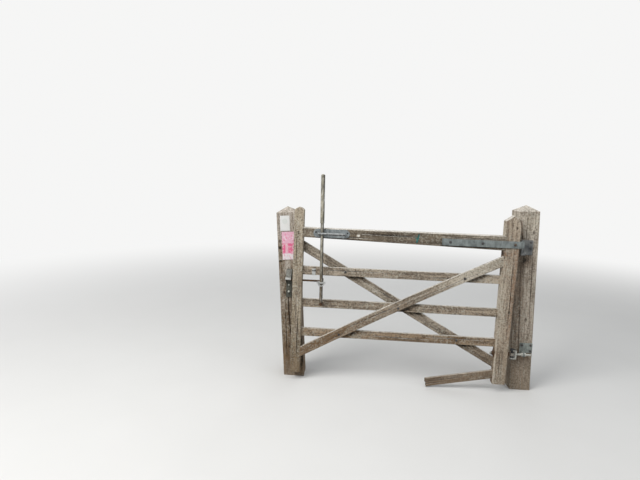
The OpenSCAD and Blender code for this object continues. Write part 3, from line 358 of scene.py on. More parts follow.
def timber(node_name, body, stations, section, place, settings, seed, cracks=(), knots=(),
           stains=(), paint=(), step=(0.010, 0.0028), arris=1.0, wear=1.0, fray=None):
    """A weathered timber: a rounded section carried along its stations.

    section(s) gives the lowest and highest a and b of the section at each station, and
    place(s, a, b) puts points in the frame. The surface is worn inwards by long ridges of noise,
    by drying cracks and by chips along the arrises. Its grain is kept in an attribute, and so are
    its dark stains and painted shade, which are pale where their strength is below nought, as
    faded wood or painted light, and its paint.
    """
    start, stop, *extra = stations
    rows = max(8, int((stop - start) / step[0])) + 1
    s = np.unique(np.concatenate([np.linspace(start, stop, rows), np.array(extra, float)]))
    rings = len(END_RINGS)
    shrink = np.concatenate([END_RINGS[::-1], np.ones(s.size), END_RINGS])[:, None]
    at_end = shrink < 1
    s = np.pad(s, rings, mode="edge")
    a_low, a_high, b_low, b_high = (np.broadcast_to(v, s.shape)[:, None] for v in section(s))
    spans = [float(size[s.size // 2, 0]) for size in (a_high - a_low, b_high - b_low)]
    first, second, share, out = section_columns(spans, step[1], cracks)
    s = s[:, None]

    def corner(sign):
        """Middle and radius of the arc at a corner, whose radius wanders along the piece."""
        key = (sign[:, 0] * 2 + sign[:, 1]).astype(int) + 7
        chips = (noise(s * 9.0, key * 3.1, 0.5, seed + 5) * 0.7
                 + noise(s * 40.0, key * 5.3, 0.5, seed + 6) * 0.5)
        r = np.minimum(settings.arris * arris * (0.45 + 1.1 * chips),
                       np.minimum(a_high - a_low, b_high - b_low) * 0.42)
        return (np.where(sign[:, 0] > 0, a_high - r, a_low + r),
                np.where(sign[:, 1] > 0, b_high - r, b_low + r), r)

    (a0, b0, r0), (a1, b1, r1) = corner(first), corner(second)
    r = r0 + (r1 - r0) * share
    mid_a, mid_b = (a_low + a_high) / 2, (b_low + b_high) / 2
    a = a0 + (a1 - a0) * share + r * out[:, 0] - mid_a
    b = b0 + (b1 - b0) * share + r * out[:, 1] - mid_b

    depth = settings.wear * wear * sum(
        part * noise(s * along + seed, a * across, b * across, seed + number)
        for number, (part, along, across) in enumerate(RIDGES))
    cracked = np.zeros(a.shape)
    for number, (face, at, low, high, width, deep) in enumerate(cracks):
        across, span = (a, spans[0]) if face[0] == 0 else (b, spans[1])
        drift = CRACK_DRIFT * (noise(s * 5.0, 0.3, 0.7, seed * 31 + number) - 0.5) * 2
        mask = crack_mask(s, across, out @ np.array(face, float), low, high, width,
                          at * span / 2 + drift)
        cracked = np.maximum(cracked, mask)
        depth = depth + mask * deep
    knotted = np.zeros(a.shape)
    grain_a, grain_b = a.copy(), b.copy()
    for *spot, knot_r in knots:
        near = np.exp(-away(s, a, b, spot, 1.5 * knot_r, knot_r))
        pull = 0.7 * np.exp(-away(s, a, b, spot, 5 * knot_r, 2.5 * knot_r))
        knotted = np.maximum(knotted, near)
        grain_a -= pull * (a - spot[1])
        grain_b -= pull * (b - spot[2])
        depth = depth + near * KNOT_DEPTH

    from_corner = np.minimum(share, 1 - share) * np.where(np.abs(out[:, 0]) < 0.5, *spans)
    marks = {"crack": cracked, "knot": knotted,
             "arris": np.clip(1 - from_corner / ARRIS_BAND, 0, 1),
             "stain": soft_spots(stains, s, a, b, seed),
             "paint": np.clip(soft_spots(paint, s, a, b, seed + 3), 0, 1)}
    attributes = {key: np.where(at_end, 0.0, values).ravel() for key, values in marks.items()}
    attributes["endgrain"] = np.where(at_end, 1.0, np.zeros(a.shape)).ravel()
    run = np.broadcast_to(s, a.shape)
    if fray:
        run = fray(run, a, b)
    worn_a, worn_b = (a - depth * out[:, 0]) * shrink, (b - depth * out[:, 1]) * shrink
    grain_a, grain_b = np.where(at_end, worn_a, grain_a), np.where(at_end, worn_b, grain_b)
    attributes["grain"] = (np.stack([run, grain_a, grain_b], -1).reshape(-1, 3)
                           + seed * np.array(GRAIN_SHIFT))
    points = place(run, mid_a + worn_a, mid_b + worn_b).reshape(-1, 3)
    slot, material = timber_finish(node_name, body, settings)
    make_object(node_name + "_timber", (points, closed_faces(*a.shape)), body, material,
                node_name, attributes)


# Shader nodes

class Nodes:
    """Adds nodes to one shader tree, and keeps the colour that its layers build up."""

    def __init__(self, tree):
        """Takes the tree that the nodes go into."""
        self.tree = tree
        self.colour = None

    def join(self, value, socket):
        """Links a socket to a value or sets it. A colour that is set is made opaque."""
        if isinstance(value, bpy.types.NodeSocket):
            self.tree.links.new(value, socket)
        else:
            socket.default_value = (*value[:3], 1) if socket.type == "RGBA" else value

    def add(self, kind, values=None, **settings):
        """A node with its settings, and with its inputs set or linked by name or number."""
        made = self.tree.nodes.new("ShaderNode" + kind)
        for key, value in settings.items():
            setattr(made, key, value)
        for key, value in (values or {}).items():
            self.join(value, made.inputs[key])
        return made

    def math(self, operation, *values):
        """The result of a Math node."""
        return self.add("Math", dict(enumerate(values)), operation=operation).outputs[0]

    def times(self, first, second):
        """Two values multiplied."""
        return self.math("MULTIPLY", first, second)

    def plus(self, value, share, rest):
        """A share of one value added to another."""
        return self.math("MULTIPLY_ADD", value, share, rest)

    def part(self, vector, axis):
        """One of a vector's three parts."""
        return self.add("SeparateXYZ", {0: vector}).outputs[axis]

    def ramp(self, value, low, high, to_low=0.0, to_high=1.0):
        """A smooth step of a value from low to high."""
        return self.add("MapRange", {"Value": value, "From Min": low, "From Max": high,
                                     "To Min": to_low, "To Max": to_high},
                        interpolation_type="SMOOTHSTEP").outputs["Result"]

    def mix(self, share, first, second):
        """The first colour with a share of the second."""
        return self.add("Mix", {0: share, 6: first, 7: second}, data_type="RGBA").outputs[2]

    def cover(self, share, colour):
        """A further layer of colour over the ones before it."""
        self.colour = self.mix(share, self.colour, colour)

    def noise(self, vector, scale, detail, roughness):
        """Fractal noise."""
        return self.add("TexNoise", {"Vector": vector, "Scale": scale, "Detail": detail,
                                     "Roughness": roughness}).outputs["Fac"]

    def stretched(self, vector, stretch, detail, roughness):
        """Fractal noise in coordinates that are multiplied by a stretch."""
        scaled = self.add("VectorMath", {0: vector, 1: stretch}, operation="MULTIPLY")
        return self.noise(scaled.outputs[0], 1.0, detail, roughness)

    def dress(self, shader, roughness, height, distance, strength):
        """Gives a shader the built-up colour, a roughness and a bump."""
        bump = self.add("Bump", {"Height": height, "Distance": distance, "Strength": strength})
        self.join(self.colour, shader.inputs["Base Color"])
        self.join(roughness, shader.inputs["Roughness"])
        self.join(bump.outputs["Normal"], shader.inputs["Normal"])

    def show(self, share, first, second, output):
        """Shows a share of the second shader over the first one."""
        mixed = self.add("MixShader", {0: share, 1: first.outputs[0], 2: second.outputs[0]})
        self.join(mixed.outputs[0], self.tree.nodes[output].inputs["Surface"])


COLOUR, NUMBER = "NodeSocketColor", "NodeSocketFloat"
OUTPUTS = {"Color": COLOUR, "Roughness": NUMBER, "Height": NUMBER}


def new_group(name, colours, numbers):
    """A shader node group that gives a colour, a roughness and a height: its nodes and inputs."""
    group = bpy.data.node_groups.new(name, "ShaderNodeTree")
    for title in colours:
        group.interface.new_socket(title, in_out="INPUT", socket_type=COLOUR)
    for title, default in numbers.items():
        socket = group.interface.new_socket(title, in_out="INPUT", socket_type=NUMBER)
        socket.default_value = default
    for title, kind in OUTPUTS.items():
        group.interface.new_socket(title, in_out="OUTPUT", socket_type=kind)
    return Nodes(group), group.nodes.new("NodeGroupInput").outputs


def give_out(n, roughness, height):
    """Ends a group with the built-up colour, a roughness and a height."""
    out = n.tree.nodes.new("NodeGroupOutput")
    for title, value in zip(OUTPUTS, (n.colour, roughness, height)):
        n.join(value, out.inputs[title])
    return n.tree


def weathered_grain_group():
    """Long grain, mottling, drying lines, stains, paint, lichen and bleached tops of old timber.

    Noise is stretched along the grain attribute. Lines lie where a stretched noise crosses its
    middle value. Upward faces are bleached by the height of their normal, and downward faces get
    painted shade. The attribute of stains and painted shade soaks in up to 1 and blackens above
    it, and fades the wood below nought, where some spots are painted light.
    """
    n, given = new_group("weathered_grain", ("Pale", "Dark", "Stain"),
                         {"Stain Share": 0.3, "Bleach": 0.6, "Lichen": 0.3, "Lines": 0.6})
    here = n.add("TexCoord").outputs

    def stored(key, field="Fac"):
        """One of the timber's attributes."""
        return n.add("Attribute", attribute_name=key).outputs[field]

    def cloudy(scale, detail, roughness):
        """Noise in all directions, moved by its scale so that no two copies of it agree."""
        moved = n.add("VectorMath", {0: here["Object"], 1: (scale, 0.37 * scale, 0.71 * scale)},
                      operation="ADD")
        return n.noise(moved.outputs[0], scale, detail, roughness)

    grain = stored("grain", "Vector")
    fibres = n.stretched(grain, (14.0, 260.0, 260.0), 3.0, 0.6)
    streaks = n.stretched(grain, (3.0, 70.0, 70.0), 3.0, 0.55)
    patches = n.stretched(grain, (3.2, 9.0, 9.0), 2.0, 0.5)
    mottle = cloudy(78.0, 4.0, 0.68)
    tone = n.plus(patches, 0.18, n.plus(mottle, 0.42, n.plus(streaks, 0.34, n.times(fibres, 0.24))))
    tone = n.ramp(tone, 0.508, 0.663)
    n.colour = n.mix(tone, given["Dark"], given["Pale"])

    # Blotches, worn arrises, and the attribute's spots: stains and painted shade above nought,
    # faded wood and painted light below it
    n.cover(n.times(n.ramp(cloudy(12.0, 5.0, 0.65), 0.52, 0.63), given["Stain Share"]),
            given["Stain"])
    arris = n.times(n.ramp(stored("arris"), 0.2, 1.0), n.ramp(fibres, 0.4, 0.6))
    n.cover(n.times(arris, 0.35), (0.44, 0.395, 0.32))
    stain_and_shade_amount = n.times(stored("stain"), n.plus(mottle, 1.8, 0.1))
    stain_and_shade_tint = n.add("VectorMath", {0: given["Stain"], "Scale": n.plus(tone, 0.95, 0.55)},
                operation="SCALE").outputs[0]
    n.cover(n.ramp(stain_and_shade_amount, 0.0, 1.1, 0.0, 0.92), stain_and_shade_tint)
    faded = n.mix(tone, (0.33, 0.285, 0.225), (0.62, 0.56, 0.465))
    n.cover(n.ramp(stain_and_shade_amount, 0.0, -1.0, 0.0, 0.8), faded)
    n.cover(n.ramp(stain_and_shade_amount, -1.4, -2.4), (0.74, 0.72, 0.67))

    # Drying lines, knots, bleached tops and painted shade on the undersides
    off_line = n.math("ABSOLUTE", n.math(
        "SUBTRACT", n.stretched(grain, (2.2, 70.0, 70.0), 2.0, 0.5), 0.5))
    lines = n.times(n.ramp(off_line, 0.0, 0.016, 1.0, 0.0),
                    n.ramp(n.stretched(grain, (3.5, 20.0, 20.0), 2.0, 0.5), 0.46, 0.64))
    lines = n.times(lines, given["Lines"])
    n.cover(lines, (0.045, 0.036, 0.028))
    n.cover(n.ramp(stored("knot"), 0.15, 0.75, 0.0, 0.85), (0.055, 0.037, 0.025))
    up = n.part(here["Normal"], "Z")
    bleached = n.mix(tone, (0.39, 0.365, 0.325), (0.70, 0.665, 0.61))
    n.cover(n.times(n.ramp(up, 0.10, 0.50), given["Bleach"]), bleached)
    # Painted shade: faces that turn downwards are darker
    n.cover(n.ramp(up, -0.15, -0.75, 0.0, 0.7), (0.055, 0.044, 0.034))

    # Lichen: crusts in some areas, dark holes and pale specks
    crusts = n.times(n.ramp(cloudy(58.0, 3.0, 0.6), 0.52, 0.58),
                     n.ramp(cloudy(5.0, 2.0, 0.5), 0.38, 0.56))
    n.cover(n.times(crusts, given["Lichen"]), (0.45, 0.43, 0.36))
    n.cover(n.times(n.ramp(cloudy(63.0, 3.0, 0.6), 0.55, 0.61), given["Lichen"]),
            (0.080, 0.062, 0.045))
    n.cover(n.times(n.ramp(cloudy(150.0, 2.0, 0.5), 0.60, 0.66), given["Lichen"]),
            (0.50, 0.48, 0.42))

    # Damp foot with painted shade, end grain, paint, black stains and painted shadows, and cracks
    # Darker and browner towards the ground: damp, partly painted shade and bounce light
    foot = n.times(n.ramp(n.part(here["Object"], "Z"), 0.05, 0.60, 0.7, 0.0),
                   n.ramp(stain_and_shade_amount, -1.0, 0.0))
    n.cover(n.times(foot, n.ramp(streaks, 0.25, 0.65)), (0.165, 0.105, 0.055))
    n.cover(n.times(stored("endgrain"), n.ramp(mottle, 0.3, 0.6, 0.75, 0.45)),
            (0.07, 0.052, 0.038))
    n.cover(n.ramp(stored("paint"), 0.25, 0.8),
            n.mix(tone, (0.012, 0.075, 0.065), (0.06, 0.19, 0.175)))
    # Black where the spots are strongest: black stains and painted shadows
    n.cover(n.ramp(stain_and_shade_amount, 1.1, 1.9, 0.0, 0.9), (0.022, 0.018, 0.014))
    n.cover(n.ramp(stored("crack"), 0.1, 0.6, 0.0, 0.92), (0.018, 0.014, 0.011))
    height = n.math("SUBTRACT", n.plus(fibres, 0.6, tone), n.times(lines, 1.2))
    return give_out(n, n.plus(tone, -0.12, 0.94), height)


def mottled_metal_group():
    """Dull zinc with cloudy patches, streaks that run down, pitted rust, scratches and grime.

    A black line of painted shadow lies around the height Shadow Z, fading from 0.6 to 1 of
    Shadow Half away. The side shade input paints shade on round bars where the normal turns
    towards +X, or far towards -X.
    """
    n, given = new_group("mottled_metal", ("Bright", "Dull", "Rust"),
                         {"Rust Share": 0.2, "Polish": 0.2, "Low Grime": 0.0, "Shadow Z": -1.0,
                          "Shadow Half": 0.006, "Side Grime": 0.0})
    here = n.add("TexCoord").outputs
    place, height_z = here["Object"], n.part(here["Object"], "Z")
    cloud = n.noise(place, 17.0, 4.0, 0.55)
    runs = n.stretched(place, (60.0, 60.0, 6.0), 3.0, 0.6)
    pits = n.noise(place, 70.0, 6.0, 0.7)
    tone = n.ramp(n.plus(cloud, 0.6, n.plus(runs, 0.3, n.times(pits, 0.2))), 0.40, 0.70)
    n.colour = n.mix(tone, given["Dull"], given["Bright"])
    level = n.math("SUBTRACT", 0.80, n.times(given["Rust Share"], 0.5))
    rust = n.ramp(n.math("SUBTRACT", pits, level), -0.02, 0.07)
    n.cover(rust, given["Rust"])
    low = n.times(n.ramp(height_z, 1.30, 0.80), given["Low Grime"])
    n.cover(n.times(low, n.ramp(runs, 0.3, 0.55, 0.6, 1.0)), (0.082, 0.060, 0.034))
    # Painted shadow: a black line around Shadow Z
    from_line = n.math("ABSOLUTE", n.math("SUBTRACT", height_z, given["Shadow Z"]))
    n.cover(n.ramp(n.math("DIVIDE", from_line, given["Shadow Half"]), 0.6, 1.0, 0.9, 0.0),
            (0.022, 0.021, 0.020))
    # Painted shade on the sides of round bars, by the normal's X
    aside = n.math("ABSOLUTE", n.math("ADD", n.part(here["Normal"], "X"), 0.25))
    n.cover(n.times(n.ramp(aside, 0.45, 0.95), given["Side Grime"]), (0.030, 0.027, 0.022))
    scratches = n.stretched(place, (240.0, 240.0, 18.0), 2.0, 0.5)
    shine = n.times(n.ramp(scratches, 0.56, 0.66), given["Polish"])
    n.cover(shine, (0.66, 0.67, 0.66))
    rough = n.math("SUBTRACT", n.plus(rust, 0.35, n.plus(tone, -0.10, 0.55)), n.times(shine, 0.15))
    return give_out(n, rough, n.plus(pits, 0.6, n.times(cloud, 0.4)))


def new_material(name):
    """A material, the means to add nodes to it, and its shader."""
    material = bpy.data.materials.new(name)
    material.use_nodes = True
    return material, Nodes(material.node_tree), material.node_tree.nodes["Principled BSDF"]


def finish_material(name, group_name, build_group, values, bump, metallic, specular):
    """A material whose colour, roughness and bump come from one group, which is built once."""
    if name in bpy.data.materials:
        return bpy.data.materials[name]
    group = bpy.data.node_groups.get(group_name) or build_group()
    material, n, shader = new_material(name)
    made = n.add("Group", values, node_tree=group).outputs
    n.colour = made["Color"]
    n.dress(shader, made["Roughness"], made["Height"], *bump)
    n.join(metallic, shader.inputs["Metallic"])
    n.join(specular, shader.inputs["Specular IOR Level"])
    return material


# Finishes

# Tints of single timbers, by which the settings' colours are multiplied
GREEN_GREY, BOTTOM_TINT, THIRD_TINT = (1.0, 1.03, 1.0), (0.93, 0.85, 0.76), (0.90, 0.88, 0.85)

# Each timber's record slot and material, what the pale and the dark colour of the settings are
# multiplied by, its stain colour, which also colours its painted shade, and its shares of stain,
# bleach, lichen and drying lines
TIMBERS = {
    "hanging_post": ("pale_post_timber", "bleached_post_timber", 1.0, 1.0,
                     (0.17, 0.125, 0.09), 0.35, 0.5, 0.45, 0.75),
    "shutting_post": ("grey_post_timber", "grey_brown_post_timber", (0.85, 0.86, 0.91), 1.0,
                      (0.145, 0.096, 0.055), 0.5, 0.15, 0.5, 0.7),
    "shutting_stile": ("weathered_timber", "green_grey_stile_timber", GREEN_GREY, 1.35,
                       (0.15, 0.115, 0.07), 0.35, 0.4, 0.6, 0.7),
    "hanging_stile": ("weathered_timber", "grey_brown_stile_timber", 1.05, 1.3,
                      (0.20, 0.125, 0.08), 0.35, 0.9, 0.4, 0.7),
    "top_rail": ("dark_timber", "dark_top_rail_timber", (0.45, 0.43, 0.395), 0.55,
                 (0.07, 0.054, 0.038), 0.45, 0.95, 0.35, 1.4),
    "second_rail": ("weathered_timber", "grey_second_rail", 1.06, 1.06,
                    (0.115, 0.086, 0.062), 0.35, 0.95, 0.6, 0.9),
    "third_rail": ("weathered_timber", "grey_third_rail", THIRD_TINT, THIRD_TINT,
                   (0.115, 0.082, 0.056), 0.35, 0.95, 0.6, 0.9),
    "bottom_rail": ("weathered_timber", "grey_bottom_rail", BOTTOM_TINT, BOTTOM_TINT,
                    (0.15, 0.092, 0.048), 0.35, 0.95, 0.6, 0.9),
    "broken_rail": ("dark_timber", "broken_rail_timber", 0.95, 1.1,
                    (0.13, 0.09, 0.065), 0.4, 0.75, 0.5, 1.0),
    "front_brace": ("weathered_timber", "front_brace_timber", 0.9, 0.9,
                    (0.15, 0.084, 0.038), 0.35, 0.95, 0.5, 0.9),
    "rear_brace": ("dark_timber", "rear_brace_timber", 0.8, 0.8,
                   (0.115, 0.085, 0.055), 0.5, 0.9, 0.6, 0.9),
}

# What a metal has where METALS says nothing else
IRON = {"Rust": (0.11, 0.065, 0.04), "Rust Share": 0.2, "Polish": 0.2, "Low Grime": 0.0,
        "Shadow Z": -1.0, "Shadow Half": 0.006, "Side Grime": 0.0, "Metallic": 0.35,
        "Specular": 0.4}
METALS = {
    "galvanised_iron": {"Rust Share": 0.1, "Polish": 0.1},
    "dark_hook_iron": {"Bright": (0.21, 0.215, 0.21), "Dull": (0.07, 0.075, 0.08),
                       "Polish": 0.08},
    "slate_plate_iron": {"Bright": (0.26, 0.285, 0.265), "Dull": (0.08, 0.09, 0.085),
                         "Polish": 0.3},
    "worn_eye_iron": {"Bright": (0.30, 0.28, 0.24), "Dull": (0.05, 0.042, 0.034),
                      "Rust Share": 0.5, "Polish": 0.5},
    "bright_worn_iron": {"Bright": (0.54, 0.54, 0.50), "Dull": (0.26, 0.26, 0.23),
                         "Rust Share": 0.15, "Polish": 0.5, "Metallic": 0.4},
    "guide_plate_iron": {"Bright": (0.30, 0.33, 0.34), "Dull": (0.12, 0.135, 0.14),
                         "Rust Share": 0.08, "Polish": 0.3},
    "guide_bar_iron": {"Bright": (0.46, 0.48, 0.48), "Dull": (0.24, 0.25, 0.255),
                       "Rust Share": 0.05, "Polish": 0.4},
    # The lever's tube and grip carry painted shade on their sides
    "lever_tube_iron": {"Bright": (0.35, 0.33, 0.27), "Dull": (0.105, 0.098, 0.080),
                        "Polish": 0.5, "Metallic": 0.6, "Low Grime": 0.9, "Side Grime": 0.85},
    "lever_grip_iron": {"Bright": (0.47, 0.44, 0.35), "Dull": (0.13, 0.122, 0.095),
                        "Rust Share": 0.15, "Polish": 0.7, "Metallic": 0.6, "Side Grime": 0.85},
    "catch_hood_iron": {"Bright": (0.185, 0.185, 0.165), "Dull": (0.035, 0.037, 0.032),
                        "Rust Share": 0.35},
    "catch_plate_iron": {"Bright": (0.085, 0.086, 0.070), "Dull": (0.012, 0.012, 0.011),
                         "Rust Share": 0.3, "Polish": 0.1},
    "cleat_iron": {"Bright": (0.52, 0.53, 0.52), "Dull": (0.28, 0.285, 0.28),
                   "Rust Share": 0.05, "Polish": 0.4},
    "rail_cleat_iron": {"Bright": (0.60, 0.61, 0.60), "Dull": (0.36, 0.365, 0.355),
                        "Rust Share": 0.05, "Polish": 0.4},
    "dull_bolts": {"Bright": (0.10, 0.10, 0.10), "Dull": (0.035, 0.034, 0.033),
                   "Rust Share": 0.45, "Polish": 0.05, "Metallic": 0.3, "Specular": 0.3},
    "brown_bolt_iron": {"Bright": (0.14, 0.105, 0.08), "Dull": (0.06, 0.045, 0.035),
                        "Specular": 0.2},
    "worn_screws": {"Bright": (0.56, 0.57, 0.52), "Dull": (0.26, 0.265, 0.24)},
    "rusted_iron": {"Bright": (0.092, 0.056, 0.034), "Dull": (0.034, 0.022, 0.015),
                    "Rust": (0.13, 0.070, 0.036), "Rust Share": 0.6, "Polish": 0.0,
                    "Metallic": 0.15, "Specular": 0.15},
    "black_iron": {"Bright": (0.055, 0.058, 0.060), "Dull": (0.022, 0.023, 0.024),
                   "Rust Share": 0.35, "Polish": 0.05, "Metallic": 0.2, "Specular": 0.3},
}

# Bump of timber and of metal: distance and strength
TIMBER_BUMP, METAL_BUMP, NOTICE_BUMP = (0.0012, 0.75), (0.0005, 0.5), (0.0004, 0.4)
TIMBER_SPECULAR = 0.25


def timber_finish(node_name, body, settings):
    """The record slot of a timber, and its material in the settings' colours."""
    slot, name, pale, dark, stain, *shares = TIMBERS[node_name]
    kind = "post" if body == "posts" else "leaf"
    values = {"Pale": np.multiply(tuple(getattr(settings, kind + "_pale")), pale),
              "Dark": np.multiply(tuple(getattr(settings, kind + "_dark")), dark),
              "Stain": stain, **dict(zip(("Stain Share", "Bleach", "Lichen", "Lines"), shares))}
    return slot, finish_material(name, "weathered_grain", weathered_grain_group, values,
                                 TIMBER_BUMP, 0.0, TIMBER_SPECULAR)


def metal(name, more=None):
    """A metal of the table, with what a piece adds to it."""
    values = {**IRON, **METALS[name], **(more or {})}
    metallic, specular = values.pop("Metallic"), values.pop("Specular")
    return finish_material(name, "mottled_metal", mottled_metal_group, values, METAL_BUMP,
                           metallic, specular)


# Marks of the timbers. Cracks: face, place across it from -1 to 1, start, stop, width, depth.
# Knots: along, a, b, radius. Stains, painted shade and paint: along, a, b, length, radius,
# strength.
RAIL_CUT = {"step": (0.012, 0.0026), "arris": 0.8, "wear": 0.8}
POST_CUT = {"step": (0.011, 0.0032), "arris": 0.9}
BRACE_MARKS = {
    **RAIL_CUT,
    "cracks": ((FORE, 0.2, -1.5, -0.8, 0.005, 0.009), (FORE, -0.35, -0.9, -0.4, 0.005, 0.009),
               (AFT, 0.0, -1.6, -0.7, 0.006, 0.009)),
    "knots": ((-1.2, THIN_FRONT, 0.01, 0.009), (-0.55, THIN_FRONT, -0.02, 0.008)),
}
